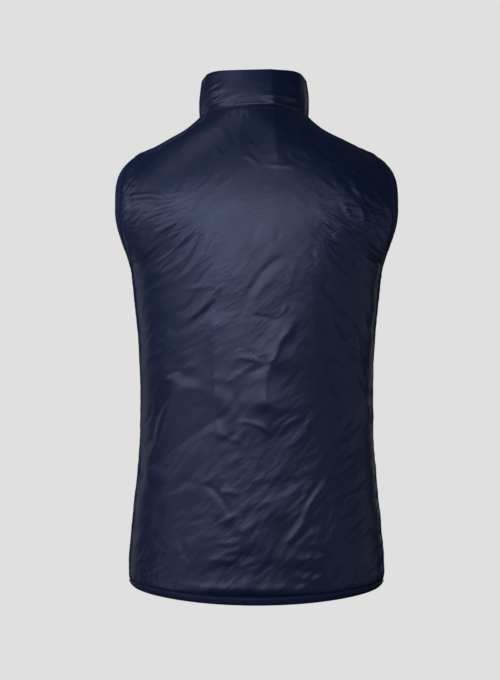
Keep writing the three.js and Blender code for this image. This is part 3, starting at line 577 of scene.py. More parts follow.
def panel_points(p, n, folds, creases, seed, zip_column=None):
    """Outer and inner points of a panel, its folds, puckers and seam rolls laid along its normals."""
    run_up = run_along(p, 0)
    run_across = run_along(p, 1)
    below, above = run_up, run_up[-1:] - run_up
    lo_side, hi_side = run_across, run_across[:, -1:] - run_across
    x, z = p[..., 0], p[..., 2]
    sides = [d for j, d in ((0, lo_side), (p.shape[1] - 1, hi_side)) if j != zip_column]
    edge = np.minimum.reduce(sides)
    every = np.minimum.reduce([below, above, lo_side, hi_side])
    arm = smooth((z + 240) / 20)  # 1 beside the armholes, 0 beside the side seams
    big = BIG_FOLDS * fold_height(folds, x, z) + crease_height(creases, x, z)
    big *= smooth(np.minimum.reduce([edge, every + 4]) / BORDER_FADE)
    # the smooth, full upper back and the more creased flanks and waist
    calm = np.exp(-((x / 75) ** 2) - (((z + 120) / 70) ** 2))
    busy = (1 - 0.75 * calm) * smooth(every / 14)
    small = crumple(x, z, seed) * busy
    t_hem = run_across - run_across[:, run_across.shape[1] // 2, None]
    gathers = pucker(t_hem, below, HEM_GATHERS, seed)
    gathers += pucker(t_hem, above, TOP_GATHERS, seed)
    gathers += pucker(run_up, edge, ARM_GATHERS, seed) * arm
    gathers += pucker(run_up, edge, ARM_FINE_GATHERS, seed) * arm
    gathers += pucker(run_up, edge, SIDE_GATHERS, seed) * (1 - arm)
    if zip_column is not None:
        beside = lo_side if zip_column == 0 else hi_side
        gathers += pucker(run_up, beside, ZIP_GATHERS, seed)
    deep = 1.1 - 1.0 * smooth((z + 40) / 40)  # the neck seam hardly sinks
    roll = -deep * np.exp(-((every / 2.0) ** 1.2))
    puff = 0.9 * np.exp(-(((every - 9) / 7) ** 2)) * (1 - smooth((z + 50) / 40))
    outer = p + n * (big + small + gathers + roll + puff)[..., None]
    depth = PANEL_WALL[0] + PANEL_WALL[1] * smooth(every / 26)
    inner = p + n * (0.9 * big - depth)[..., None]
    return outer, inner


def halved(count):
    """Every second index of a row of points, both ends kept."""
    picks = list(range(0, count - 1, 2)) + [count - 1]
    return np.array(picks)


def shell_faces(rows, columns):
    """Quads of a fine outer grid and a coarse inner one, joined round their borders."""
    ri, ci = halved(rows), halved(columns)
    off, m = rows * columns, len(ci)
    i, j = np.meshgrid(np.arange(rows - 1), np.arange(columns - 1), indexing="ij")
    a = i * columns + j
    faces = np.stack([a, a + 1, a + 1 + columns, a + columns], -1).reshape(-1, 4).tolist()
    i, j = np.meshgrid(np.arange(len(ri) - 1), np.arange(m - 1), indexing="ij")
    a = off + i * m + j
    faces += np.stack([a, a + m, a + m + 1, a + 1], -1).reshape(-1, 4).tolist()

    def rim(fine, coarse, picks, turn):
        for k in range(len(picks) - 1):
            face = [fine(t) for t in range(picks[k], picks[k + 1] + 1)] + [coarse(k + 1), coarse(k)]
            faces.append(face if turn else face[::-1])

    rim(lambda t: t, lambda k: off + k, ci, False)
    rim(lambda t: (rows - 1) * columns + t, lambda k: off + (len(ri) - 1) * m + k, ci, True)
    rim(lambda t: t * columns, lambda k: off + k * m, ri, True)
    rim(lambda t: t * columns + columns - 1, lambda k: off + k * m + m - 1, ri, False)
    return faces


def make_mesh(name, points, faces, material, uv=None):
    """points in millimetres; uv in metres on the flat cloth, one pair a point."""
    mesh = bpy.data.meshes.new(name)
    in_metres = (np.asarray(points, float).reshape(-1, 3) / 1000).tolist()
    mesh.from_pydata(in_metres, [], [list(map(int, f)) for f in faces])
    mesh.validate()
    if uv is not None:
        layer = mesh.uv_layers.new(name="cloth")
        corner = np.empty(len(mesh.loops), dtype=np.int64)
        mesh.loops.foreach_get("vertex_index", corner)
        layer.data.foreach_set("uv", np.asarray(uv, float).reshape(-1, 2)[corner].ravel())
    mesh.polygons.foreach_set("use_smooth", np.ones(len(mesh.polygons), dtype=bool))
    mesh.update()
    obj = bpy.data.objects.new(name, mesh)
    bpy.context.scene.collection.objects.link(obj)
    obj.data.materials.append(material)
    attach(obj, BODY)
    return obj


def faces_out(obj):
    """Turns every face to point out."""
    bm = bmesh.new()
    bm.from_mesh(obj.data)
    bmesh.ops.recalc_face_normals(bm, faces=bm.faces)
    bm.to_mesh(obj.data)
    bm.free()


def leaned(p):
    """The collar's small lean to one side, none at the zip."""
    q = np.array(p, float)
    share = smooth((q[..., 2] + 70) / 70) * smooth((q[..., 1] + 80) / 55)
    q[..., 0] += NECK_LEAN * share
    return q


# Materials
def new_material(name):
    m = bpy.data.materials.new(name)
    m.use_nodes = True
    nodes, links = m.node_tree.nodes, m.node_tree.links
    shader = nodes["Principled BSDF"]
    return m, nodes, links, shader


def set_inputs(node, **values):
    """Sets a node's inputs, named with low lines for spaces."""
    for name, value in values.items():
        node.inputs[name.replace("_", " ")].default_value = value


def noise_node(nodes, links, coords, scale, detail=3.0, rough=0.55):
    n = nodes.new("ShaderNodeTexNoise")
    set_inputs(n, Scale=scale, Detail=detail, Roughness=rough)
    links.new(coords, n.inputs["Vector"])
    return n


def ramp(nodes, links, source, stops):
    """stops pairs a place with a colour, or with one number for a grey."""
    r = nodes.new("ShaderNodeValToRGB")
    e = r.color_ramp.elements
    while len(e) < len(stops):
        e.new(0.5)
    for item, (at, colour) in zip(e, stops):
        item.position = at
        item.color = (*colour, 1) if isinstance(colour, tuple) else (colour, colour, colour, 1)
    links.new(source, r.inputs["Fac"])
    return r


def maths(nodes, links, op, a, b):
    n = nodes.new("ShaderNodeMath")
    n.operation = op
    for k, v in enumerate((a, b)):
        if isinstance(v, (int, float)):
            n.inputs[k].default_value = v
        else:
            links.new(v, n.inputs[k])
    return n.outputs[0]


def ridged(nodes, links, noise):
    """Noise turned into thin ridges: how far it is from its middle."""
    off_middle = maths(nodes, links, "SUBTRACT", noise.outputs["Fac"], 0.5)
    return maths(nodes, links, "ABSOLUTE", off_middle, 0.0)


def bump(nodes, links, height, strength, distance, normal=None):
    b = nodes.new("ShaderNodeBump")
    set_inputs(b, Strength=strength, Distance=distance)
    links.new(height, b.inputs["Height"])
    if normal is not None:
        links.new(normal, b.inputs["Normal"])
    return b.outputs["Normal"]


WAVE_SCALE = 0.314  # a wave texture's scale times the length of one wave


def weave_height(nodes, links, pitch):
    """A plain weave from the flat cloth's own coordinates."""
    uv = nodes.new("ShaderNodeTexCoord").outputs["UV"]
    parts = []
    for direction in ("X", "Y"):
        w = nodes.new("ShaderNodeTexWave")
        w.wave_type, w.bands_direction, w.wave_profile = "BANDS", direction, "SIN"
        set_inputs(w, Scale=WAVE_SCALE / pitch, Distortion=0.0)
        links.new(uv, w.inputs["Vector"])
        parts.append(w.outputs["Fac"])
    return maths(nodes, links, "MULTIPLY", *parts)


FAN_ASIDE, FAN_HEIGHT = 0.028, -0.105  # where the fine creases fan out from, in metres


def armhole_creases(nodes, links, coords):
    """Fine creases that fan out from between the shoulder blades towards the armholes' lower edges."""
    parts = nodes.new("ShaderNodeSeparateXYZ")
    links.new(coords, parts.inputs[0])
    x, _, z = parts.outputs
    aside = maths(nodes, links, "SUBTRACT", maths(nodes, links, "ABSOLUTE", x, 0.0), FAN_ASIDE)
    fall = maths(nodes, links, "SUBTRACT", FAN_HEIGHT, z)
    turn = maths(nodes, links, "ARCTAN2", fall, aside)
    squares = [maths(nodes, links, "MULTIPLY", side, side) for side in (aside, fall)]
    reach = maths(nodes, links, "SQRT", maths(nodes, links, "ADD", *squares), 0.0)
    fan = nodes.new("ShaderNodeCombineXYZ")
    for k, (source, scale) in enumerate(((turn, 10.0), (reach, 14.0), (x, 3.0))):
        links.new(maths(nodes, links, "MULTIPLY", source, scale), fan.inputs[k])
    rays = ridged(nodes, links, noise_node(nodes, links, fan.outputs[0], 1.0, 2.0, 0.5))
    near = ramp(nodes, links, reach, [(0.060, 0.0), (0.095, 1.0), (0.145, 1.0), (0.185, 0.0)])
    low = ramp(nodes, links, turn, [(0.0, 0.15), (0.35, 1.0), (0.90, 1.0), (1.15, 0.0)])
    rays = maths(nodes, links, "MULTIPLY", rays, near.outputs["Color"])
    return maths(nodes, links, "MULTIPLY", rays, low.outputs["Color"])


WEAVE_PITCH = 0.00045


def shell_material():
    m, nodes, links, s = new_material("navy_nylon")
    coords = nodes.new("ShaderNodeTexCoord").outputs["Object"]
    tint = noise_node(nodes, links, coords, 9.0, 4.0)
    navy = [(0.3, (0.0030, 0.0072, 0.030)), (0.7, (0.0042, 0.0092, 0.036))]
    links.new(ramp(nodes, links, tint.outputs["Fac"], navy).outputs["Color"], s.inputs["Base Color"])
    gloss = noise_node(nodes, links, coords, 26.0, 5.0)
    rough = ramp(nodes, links, gloss.outputs["Fac"], [(0.3, 0.38), (0.7, 0.46)])
    links.new(rough.outputs["Color"], s.inputs["Roughness"])
    edge_on = nodes.new("ShaderNodeLayerWeight")
    set_inputs(edge_on, Blend=0.5)
    shine = ramp(nodes, links, edge_on.outputs["Facing"], [(0.47, 0.62), (0.78, 0.0)])
    links.new(shine.outputs["Color"], s.inputs["Specular IOR Level"])
    set_inputs(s, Specular_Tint=(0.60, 0.66, 1.0, 1), Sheen_Weight=0.08, Sheen_Roughness=0.5)
    set_inputs(s, Sheen_Tint=(0.40, 0.50, 1.0, 1))
    # fine creases, longer along the cloth's main slant than across it
    slanted = nodes.new("ShaderNodeMapping")
    slanted.vector_type = "TEXTURE"
    set_inputs(slanted, Rotation=(0, math.radians(42), 0), Scale=(3.2, 1.6, 1.0))
    links.new(coords, slanted.inputs["Vector"])
    folded = ridged(nodes, links, noise_node(nodes, links, slanted.outputs["Vector"], 130.0, 4.0, 0.62))
    rays = armhole_creases(nodes, links, coords)
    where = noise_node(nodes, links, coords, 9.0, 2.0, 0.5)
    patches = ramp(nodes, links, where.outputs["Fac"], [(0.38, 0.12), (0.62, 1.0)])
    folded = maths(nodes, links, "MULTIPLY", folded, patches.outputs["Color"])
    normal = bump(nodes, links, folded, 0.50, 0.0026)
    normal = bump(nodes, links, rays, 0.55, 0.0080, normal)
    fine = noise_node(nodes, links, coords, 330.0, 2.0, 0.5)
    normal = bump(nodes, links, fine.outputs["Fac"], 0.15, 0.0004, normal)
    normal = bump(nodes, links, weave_height(nodes, links, WEAVE_PITCH), 0.25, 0.00006, normal)
    links.new(normal, s.inputs["Normal"])
    return m


def tape_material(name, dark, light, pitch, rough, relief=0.00018):
    m, nodes, links, s = new_material(name)
    coords = nodes.new("ShaderNodeTexCoord").outputs["Object"]
    tint = noise_node(nodes, links, coords, 60.0, 4.0)
    colour = ramp(nodes, links, tint.outputs["Fac"], [(0.3, dark), (0.7, light)])
    links.new(colour.outputs["Color"], s.inputs["Base Color"])
    set_inputs(s, Roughness=rough, Specular_IOR_Level=0.25, Specular_Tint=(0.55, 0.65, 1.0, 1))
    set_inputs(s, Sheen_Weight=0.06, Sheen_Roughness=0.6, Sheen_Tint=(0.6, 0.68, 1.0, 1))
    fuzz = noise_node(nodes, links, coords, 900.0, 2.0)
    normal = bump(nodes, links, fuzz.outputs["Fac"], 0.4, 0.0002)
    normal = bump(nodes, links, weave_height(nodes, links, pitch), 0.6, relief, normal)
    links.new(normal, s.inputs["Normal"])
    return m


def hard_material(name, colour, metallic, rough):
    m, nodes, links, s = new_material(name)
    coords = nodes.new("ShaderNodeTexCoord").outputs["Object"]
    wear = noise_node(nodes, links, coords, 400.0, 4.0)
    bright = tuple(min(1, c * 1.5 + 0.004) for c in colour)
    mix = ramp(nodes, links, wear.outputs["Fac"], [(0.35, colour), (0.75, bright)])
    links.new(mix.outputs["Color"], s.inputs["Base Color"])
    r = ramp(nodes, links, wear.outputs["Fac"], [(0.3, rough), (0.75, rough + 0.12)])
    links.new(r.outputs["Color"], s.inputs["Roughness"])
    set_inputs(s, Metallic=metallic)
    links.new(bump(nodes, links, wear.outputs["Fac"], 0.2, 0.0001), s.inputs["Normal"])
    return m


SHELL = shell_material()
BINDING = tape_material("navy_binding", (0.0035, 0.0075, 0.034), (0.0050, 0.0100, 0.042), 0.0009, 0.50)
TAPE = tape_material("navy_zip_tape", (0.006, 0.010, 0.032), (0.009, 0.014, 0.042), 0.0007, 0.75)
THREAD = tape_material("navy_thread", (0.008, 0.011, 0.028), (0.013, 0.017, 0.04), 0.0004, 0.6, 0.00005)
TEETH = hard_material("navy_zip_teeth", (0.006, 0.010, 0.030), 0.0, 0.35)
METAL = hard_material("dark_enamel", (0.012, 0.016, 0.032), 0.35, 0.32)

# Panels


def cloth_uv(p):
    """Flat coordinates of a panel's points, in metres, for its weave."""
    across = run_along(p, 1)
    return np.stack([across, run_along(p, 0)], -1) / 1000


def make_panel(name, points, normals, folds, creases, seed, zip_column=None):
    outer, inner = panel_points(points, normals, folds, creases, seed, zip_column)
    outer, inner = leaned(outer), leaned(inner)
    rows, columns = outer.shape[:2]
    uv = cloth_uv(points)
    pick = np.ix_(halved(rows), halved(columns))
    obj = make_mesh(
        name + "_cloth",
        np.concatenate([outer.reshape(-1, 3), inner[pick].reshape(-1, 3)]),
        shell_faces(rows, columns),
        SHELL,
        uv=np.concatenate([uv.reshape(-1, 2), uv[pick].reshape(-1, 2)]),
    )
    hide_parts(name)
    return obj, outer


BACK_GRID = np.concatenate([LEFT_BACK[:, ::-1], LEFT_BACK[:, 1:] * MIRROR], axis=1)
FRONT_LEFT_GRID = LEFT_FRONT
FRONT_RIGHT_GRID = (LEFT_FRONT * MIRROR)[:, ::-1]
back_normals = grid_normals(BACK_GRID)
left_normals = back_normals[:, : COLUMNS + 1][:, ::-1].copy()
front_normals = grid_normals(FRONT_LEFT_GRID)
# both panels of a side or shoulder seam share its normals, so that the seam stays closed
side_seam = (slice(0, CORNER_ROW + 1), COLUMNS)
shoulder_seam = (TOP_ROW, slice(NECK_COLUMNS, COLUMNS + 1))
for seam_part in (side_seam, shoulder_seam):
    common = left_normals[seam_part] + front_normals[seam_part]
    common /= np.linalg.norm(common, axis=-1, keepdims=True)
    left_normals[seam_part] = common
    front_normals[seam_part] = common
back_normals = np.concatenate([left_normals[:, ::-1], left_normals[:, 1:] * MIRROR], axis=1)
front_right_normals = (front_normals * MIRROR)[:, ::-1]
back, _ = make_panel("back_panel", BACK_GRID, back_normals, BACK_FOLDS, BACK_CREASES, 3)
front_left, front_left_outer = make_panel(
    "front_panel_left", FRONT_LEFT_GRID, front_normals, FRONT_FOLDS, [], 41, 0
)
front_right, front_right_outer = make_panel(
    "front_panel_right", FRONT_RIGHT_GRID, front_right_normals, FRONT_FOLDS, [], 67, COLUMNS
)

# Collar
# columns: x1, z1, x2, z2, bend, width, height, lean
COLLAR_BACK_FOLDS = [
    (70, -5, 50, 10, -3, 2.4, -0.9, 1),
    (69, 9, 48, 25, -3, 2.2, -0.9, 1),
    (64, 12, 44, 24, -2, 2, 0.5, 1),
    (68, 22, 50, 38, -3, 2, -0.6, 1),
    (56, 3, 38, 12, -2, 2.2, 0.4, 1),
    (-30, 27, -50, 29, 0, 3, -0.8, 1),
    (-28, 15, -50, 15, 0, 2.6, -0.9, 1),
    (-30, 7, -60, -6, 1, 2.6, -1.2, 1),
    (-44, 44, -66, 32, 1, 3.2, 0.7, 1),
    (32, 11, -20, 12.5, 0, 2, 0.8, 1),
]
# columns: x1, z1, x2, z2, bend, left, right, height
COLLAR_BACK_CREASES = [
    (-22, 66, -24, 10, 0, 45, 22, 4),
    (71, 0, 47, 16, -3, 2.4, 5, 2.2),
    (47, 16, 28, 24, 1, 2.2, 5, 0.9),
    (69, 15, 46, 32, -3, 2.2, 4, 1.8),
    (46, 32, 31, 34, 0, 2.2, 4, 0.8),
    (66, 27, 48, 42, -2, 2, 4, 1.2),
    (68, 8, 52, 20, -2, 1.8, 3, 1),
    (-27, 23, -46, 22, -2, 2.4, 4, 2.6),
    (-29, 13, -58, 1, 1, 3.6, 6, 2.8),
    (-50, 62, -56, 36, -1, 5, 9, 1.2),
]
# columns: x1, z1, x2, z2, bend, width, height, lean
COLLAR_FRONT_FOLDS = [
    (66, -8, 36, -24, 3, 5, 1.4, 1.3),
    (60, 30, 30, 12, 3, 5, -1.2, 1),
    (-66, -4, -34, -20, -3, 5, 1.4, 1.3),
    (-58, 26, -28, 6, -3, 5, -1.2, 1),
]
COLLAR_COLUMNS = 2 * 150 + 1
COLLAR_ROWS = 2 * 20 + 1
COLLAR_WALL = 4.6
FOOT_GATHERS = (8, 10, 0.35, 91, 0)
LIP_GATHERS = (15, 16, 0.7, 93, 0)
LIP_DROP = 1.6  # how far the topmost row sinks to make room for the rounded lip
CORNER_POWER = 18  # the higher, the nearer to the collar's sides its corners start to bend
LEVEL_ANGLE, LEVEL_SPREAD = 42, 22  # where the top is lifted to stay level, in degrees from the middle
angles = np.linspace(ZIP_ANGLE, -ZIP_ANGLE, COLLAR_COLUMNS)
foot, top = ring_point(NECK, angles), ring_point(COLLAR_TOP, angles)
foot[0, 0], foot[-1, 0], top[0, 0], top[-1, 0] = ZIP_HALF, -ZIP_HALF, ZIP_HALF, -ZIP_HALF


def collar_at(up):
    p = foot + (top - foot) * up
    bow = COLLAR_BOW * math.sin(math.pi * min(1, up))
    p[:, 0] += np.sin(np.radians(angles)) * bow
    p[:, 1] += np.cos(np.radians(angles)) * bow
    return p


ups = np.linspace(0, 1, COLLAR_ROWS)
collar_grid = np.array([collar_at(u) for u in ups])
collar_normals = grid_normals(collar_grid)
collar_up = run_along(collar_grid, 0)
collar_across = run_along(collar_grid, 1)
collar_border = np.minimum.reduce([collar_up, collar_across, collar_across[:, -1:] - collar_across])
collar_x, collar_y, collar_z = np.moveaxis(collar_grid, -1, 0)
at_back = smooth((collar_y + 25) / 20)
collar_relief = fold_height(COLLAR_BACK_FOLDS, collar_x, collar_z) * at_back
collar_relief += crease_height(COLLAR_BACK_CREASES, collar_x, collar_z) * at_back
collar_relief += fold_height(COLLAR_FRONT_FOLDS, collar_x, collar_z) * (1 - at_back)
collar_relief *= smooth(collar_border / 5) * (1 - 0.65 * smooth((np.abs(collar_x) - 58) / 9))
collar_relief += pucker(collar_across, collar_up, FOOT_GATHERS)
collar_relief += pucker(collar_across, collar_up[-1:] - collar_up, LIP_GATHERS)
collar_relief += 0.35 * crumple(collar_across, collar_up * 1.4, 97) * smooth(collar_border / 16)
collar_relief += -0.2 * np.exp(-((collar_border / 2.0) ** 1.2))
outside = collar_grid + collar_normals * collar_relief[..., None]
lip_n = collar_normals[-1]
rise = unit(collar_grid[-1] - collar_grid[-2])
for k in range(4):
    outside[-1 - k] -= rise * (LIP_DROP - 0.4 * k)
# the collar's top is level between its corners, which are round when seen from behind
corner = np.abs(np.sin(np.radians(angles)))[:, None] ** CORNER_POWER
level = np.exp(-(((np.abs(angles) - LEVEL_ANGLE) / LEVEL_SPREAD) ** 2))[:, None]
# a row for each ring from the lip down. columns: inwards at a corner, down at a corner, lift elsewhere
LIP_SHAPE = (
    (3.4, 2.3, 1.2),
    (2.2, 1.9, 1.1),
    (1.3, 1.6, 1.0),
    (0.7, 1.3, 0.9),
    (0.3, 1.0, 0.8),
    (0.1, 0.75, 0.65),
    (0.0, 0.5, 0.5),
    (0.0, 0.3, 0.35),
    (0.0, 0.15, 0.2),
)


def shape_lip(rings):
    """Levels the collar's top and rounds its corners, from the lip's ring down."""
    for ring, (inward, down, lift) in zip(rings, LIP_SHAPE):
        ring += [0, 0, 1] * (lift * level - down * corner) - lip_n * inward * corner


shape_lip(outside[::-1])
rolls = []
for turn in (30, 60, 90, 120, 150):
    a = math.radians(turn)
    half = COLLAR_WALL / 2
    rolls.append(outside[-1] - lip_n * half * (1 - math.cos(a)) + rise * half * 0.75 * math.sin(a))
inside = (collar_grid - collar_normals * COLLAR_WALL)[::-1]
inside[0] = inside[0] - rise * LIP_DROP
shape_lip(inside)
section = leaned(np.concatenate([outside, np.array(rolls), inside]))
n_rows, n_cols = section.shape[:2]
ii, jj = np.meshgrid(np.arange(n_rows), np.arange(n_cols - 1), indexing="ij")
a = ii * n_cols + jj
b = ((ii + 1) % n_rows) * n_cols + jj
collar_faces = np.stack([a, a + 1, b + 1, b], -1).reshape(-1, 4).tolist()
collar_faces.append([i * n_cols for i in range(n_rows)])
collar_faces.append([i * n_cols + n_cols - 1 for i in reversed(range(n_rows))])
row_height = np.arange(n_rows)[:, None] * 1.2
flat_sides = (collar_across[0], row_height)
collar_uv = np.stack([np.broadcast_to(side, section.shape[:2]) for side in flat_sides], -1)
collar = make_mesh("collar_cloth", section, collar_faces, SHELL, uv=collar_uv / 1000)
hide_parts("collar")


# Bindings
def tube_of_profile(name, stations, closed, material):
    """stations[i] holds one closed profile; they are joined in order."""
    stations = np.asarray(stations)
    n, m = stations.shape[:2]
    i = np.arange(n if closed else n - 1)
    ii, jj = np.meshgrid(i, np.arange(m), indexing="ij")
    a = ii * m + jj
    b = ii * m + (jj + 1) % m
    c = ((ii + 1) % n) * m + (jj + 1) % m
    d = ((ii + 1) % n) * m + jj
    faces = np.stack([a, b, c, d], -1).reshape(-1, 4).tolist()
    if not closed:
        faces.append(list(range(m))[::-1])
        faces.append([(n - 1) * m + k for k in range(m)])
    run = length_along(stations[:, 0])
    round_it = np.linspace(0, 2.2 * BINDING_WIDTH, m)
    uv = np.stack(np.meshgrid(run, round_it, indexing="ij"), -1) / 1000
    obj = make_mesh(name, stations, faces, material, uv=uv)
    faces_out(obj)
    return obj


# columns: share of the width from the seam, lift along the normal in mm
BINDING_PROFILE = [
    (0.02, -0.9),
    (0.05, 0.1),
    (0.16, 0.75),
    (0.34, 1.0),
    (0.55, 1.05),
    (0.76, 0.9),
    (0.92, 0.35),
    (1.01, -0.7),
    (1.02, -1.9),
    (0.93, -2.9),
    (0.70, -3.3),
    (0.35, -3.3),
    (0.02, -3.1),
]
STITCH_ROW, STITCH_LIFT = 2, 0.08


def binding_stations(seam, edge, normal, seed, closed, belly=0):
    run = length_along(seam)
    total = run[-1] + (np.linalg.norm(seam[0] - seam[-1]) if closed else 0)
    turn = 2 * np.pi * run / total
    wave = noise2(np.cos(turn) * total / 45 + 20, np.sin(turn) * total / 45 + 20, seed)
    wave += 0.7 * noise2(np.cos(turn) * total / 20 + 40, np.sin(turn) * total / 20 + 40, seed + 1)
    stations = []
    for share, lift in BINDING_PROFILE:
        crown = 4 * share * (1 - share) if share < 1 else 0
        lift_here = lift + (0.45 * wave * (0.3 + crown) if lift > 0 else 0)
        lift_here = np.reshape(lift_here, (-1, 1)) + belly * np.clip(share * (1 - share), 0, 1)
        stations.append(seam + (edge - seam) * share + normal * lift_here)
    return np.stack(stations, axis=1)


def resample(line, count, closed):
    pts = np.concatenate([line, line[:1]]) if closed else line
    run = length_along(pts)
    at = np.linspace(0, run[-1], count + (1 if closed else 0))
    if closed:
        at = at[:-1]
    return taken_at(at, run, pts)


def armhole_binding(name, side, seed):
    rows = np.arange(CORNER_ROW, TOP_ROW + 1)
    seam = np.concatenate([LEFT_BACK[rows, -1], LEFT_FRONT[rows[::-1][1:-1], -1]])
    edge = np.concatenate([ARM_EDGE_BACK, ARM_EDGE_FRONT[::-1][1:-1]])
    normal = np.concatenate([left_normals[rows, -1], front_normals[rows[::-1][1:-1], -1]])
    for k in (0, len(rows) - 1):
        other = front_normals[CORNER_ROW if k == 0 else TOP_ROW, -1]
        normal[k] = normal[k] + other
    # the tape lies square to the line from the seam to the edge
    along = np.roll(seam, -1, 0) - np.roll(seam, 1, 0)
    across = edge - seam
    square = np.cross(along, across)
    square *= np.sign((square * normal).sum(-1, keepdims=True))
    for _ in range(6):
        square = (np.roll(square, 1, 0) + square * 2 + np.roll(square, -1, 0)) / 4
    square = unit(square)
    if side < 0:
        seam, edge, square = seam * MIRROR, edge * MIRROR, square * MIRROR
    stations = binding_stations(seam, edge, square, seed, True)
    obj = tube_of_profile(name + "_tape", stations, True, BINDING)
    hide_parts(name)
    return obj, stations[:, STITCH_ROW] + square * STITCH_LIFT, square


arm_left, arm_left_line, arm_left_n = armhole_binding("armhole_binding_left", 1, 201)
arm_right, arm_right_line, arm_right_n = armhole_binding("armhole_binding_right", -1, 211)

hem_seam = np.concatenate([FRONT_LEFT_GRID[0], BACK_GRID[0, 1:], FRONT_RIGHT_GRID[0, 1:]])
hem_normal = np.concatenate([front_normals[0], back_normals[0, 1:], (front_normals[0] * MIRROR)[::-1][1:]])
hem_normal = unit(evened(hem_normal, 4))
inwards = -unit(hem_seam * [1, 1, 0])
inwards[:, 0] *= np.minimum(1, (np.abs(hem_seam[:, 0]) - ZIP_HALF) / ZIP_HALF)
hem_tuck = HEM_TUCK + HEM_SIDE_TUCK * inwards[:, :1] ** 4
hem_edge = hem_seam + inwards * hem_tuck + [0, 0, -BINDING_WIDTH]
hem_stations = binding_stations(hem_seam, hem_edge, hem_normal, 221, False, 0.8 * (hem_tuck - HEM_TUCK))
hem = tube_of_profile("hem_binding_tape", hem_stations, False, BINDING)
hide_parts("hem_binding")


# Stitches
STITCH = (2.3, 3.2, 0.5)  # length, pitch, thickness
ZIP_STITCH = (2.6, 3.6, 0.5)
STITCH_SIDES = 6
# columns: share of the length, size, lift
STITCH_SHAPE = ((0.0, 0.25, -0.5), (0.14, 0.85, 0.1), (0.5, 1.0, 0.35), (0.86, 0.85, 0.1), (1.0, 0.25, -0.5))


def stitch_line(name, line, normal, stitch):
    """Small rounded stitches along a line of points, one joined mesh."""
    length, pitch, thick = stitch
    run = length_along(line)
    starts = np.arange(pitch / 2, run[-1] - length, pitch)
    a, b = taken_at(starts, run, line), taken_at(starts + length, run, line)
    n = unit(taken_at(starts + length / 2, run, normal))
    side = np.cross(n, unit(b - a))
    pts, faces = [], []
    ring = STITCH_SIDES
    for share, size, lift in STITCH_SHAPE:
        centre = a + (b - a) * share + n * (lift * thick)
        for k in range(ring):
            t = 2 * math.pi * k / ring
            pts.append(centre + (side * math.cos(t) + n * math.sin(t) * 0.8) * (size * thick / 2))
    pts = np.stack(pts, axis=1)
    per = pts.shape[1]
    for r in range(4):
        here, above = r * ring, (r + 1) * ring
        for k in range(ring):
            after = (k + 1) % ring
            faces.append([here + k, here + after, above + after, above + k])
    quads = np.array(faces)
    count = len(starts)
    everything = (quads[None] + (np.arange(count) * per)[:, None, None]).reshape(-1, 4).tolist()
    for c in range(count):
        everything.append([c * per + k for k in reversed(range(ring))])
        everything.append([c * per + 4 * ring + k for k in range(ring)])
    obj = make_mesh(name, pts, everything, THREAD)
    faces_out(obj)


stitch_line("stitches_hem", hem_stations[:, STITCH_ROW] + hem_normal * STITCH_LIFT, hem_normal, STITCH)
for name, line, n in (("left", arm_left_line, arm_left_n), ("right", arm_right_line, arm_right_n)):
    joined = [np.concatenate([part, part[:1]]) for part in (line, n)]
    stitch_line("stitches_armhole_" + name, *joined, STITCH)
for name, outer, column in (("left", front_left_outer, 2), ("right", front_right_outer, COLUMNS - 2)):
    normals = grid_normals(outer)
    stitch_line("stitches_zip_" + name, outer[2:-1, column], normals[2:-1, column], ZIP_STITCH)

# Zip
ZIP_POINTS = 700
zip_line = np.concatenate([hem_edge[:1], FRONT_LEFT_GRID[:, 0], collar_grid[1:, 0]]) * [0, 1, 1]
zip_line = resample(zip_line, ZIP_POINTS, False)
tangent = unit(evened(np.gradient(zip_line, axis=0), 30))
zip_out = np.cross(np.array([1.0, 0, 0]), tangent)
zip_run = length_along(zip_line)
TAPE_RECESS = 1.2
TEETH_START, TEETH_END = 9.0, 16.5  # what the box and the slider take of the zip's two ends
TOOTH_PITCH = 2.4
TOOTH = (1.5, 1.15, 0.85)  # half length across, height along the zip, lift above the tape


def at_zip(s, lift):
    p, n, t = (taken_at(s, zip_run, values) for values in (zip_line, zip_out, tangent))
    return p + n * lift, n, t


def teeth():
    starts = np.arange(TEETH_START, zip_run[-1] - TEETH_END, TOOTH_PITCH)
    half, tall, lift = TOOTH
    # columns: x share, y share: a tooth's outline from its root to its rounded head
    outline = [(-0.15, -0.42), (0.9, -0.42), (1.25, -0.2), (1.25, 0.2), (0.9, 0.42), (-0.15, 0.42)]
    pts, faces = [], []
    for side in (-1, 1):
        s = starts + (TOOTH_PITCH / 2 if side > 0 else 0)
        base, n, t = at_zip(s, -TAPE_RECESS)
        for c in range(len(s)):
            first = len(pts)
            for level, shrink in ((-0.15, 1.0), (0.72, 1.0), (1.0, 0.72)):
                for ox, oy in outline:
                    x = side * (half - ox * half * (0.55 + 0.45 * shrink))
                    pts.append(base[c] + [x, 0, 0] + t[c] * (oy * tall * shrink) + n[c] * (level * lift))
            m = len(outline)
            for level in range(2):
                for k in range(m):
                    a, b = first + level * m + k, first + level * m + (k + 1) % m
                    faces.append([a, b, b + m, a + m])
            faces.append([first + 2 * m + k for k in range(m)])
            faces.append([first + k for k in reversed(range(m))])
    obj = make_mesh("zip_teeth", np.array(pts), faces, TEETH)
    faces_out(obj)


teeth()
ZIP_PIECES = (
    ("zip_tape_left", TAPE),
    ("zip_tape_right", TAPE),
    ("zip_box", TEETH),
    ("zip_slider", METAL),
    ("zip_pull", METAL),
)
for node, material in ZIP_PIECES:
    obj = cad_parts[node]
    obj.data.materials.clear()
    obj.data.materials.append(material)

# Camera, lights, floor
scene = bpy.context.scene
cam_data = bpy.data.cameras.new("camera")
cam_data.sensor_width = 36
cam_data.lens = 115.5
cam = bpy.data.objects.new("camera", cam_data)
cam.location = (0.0089, 3.0, -0.304)
cam.rotation_euler = (math.radians(90), 0, math.radians(180))
scene.collection.objects.link(cam)
scene.camera = cam
scene.view_settings.view_transform = "Standard"

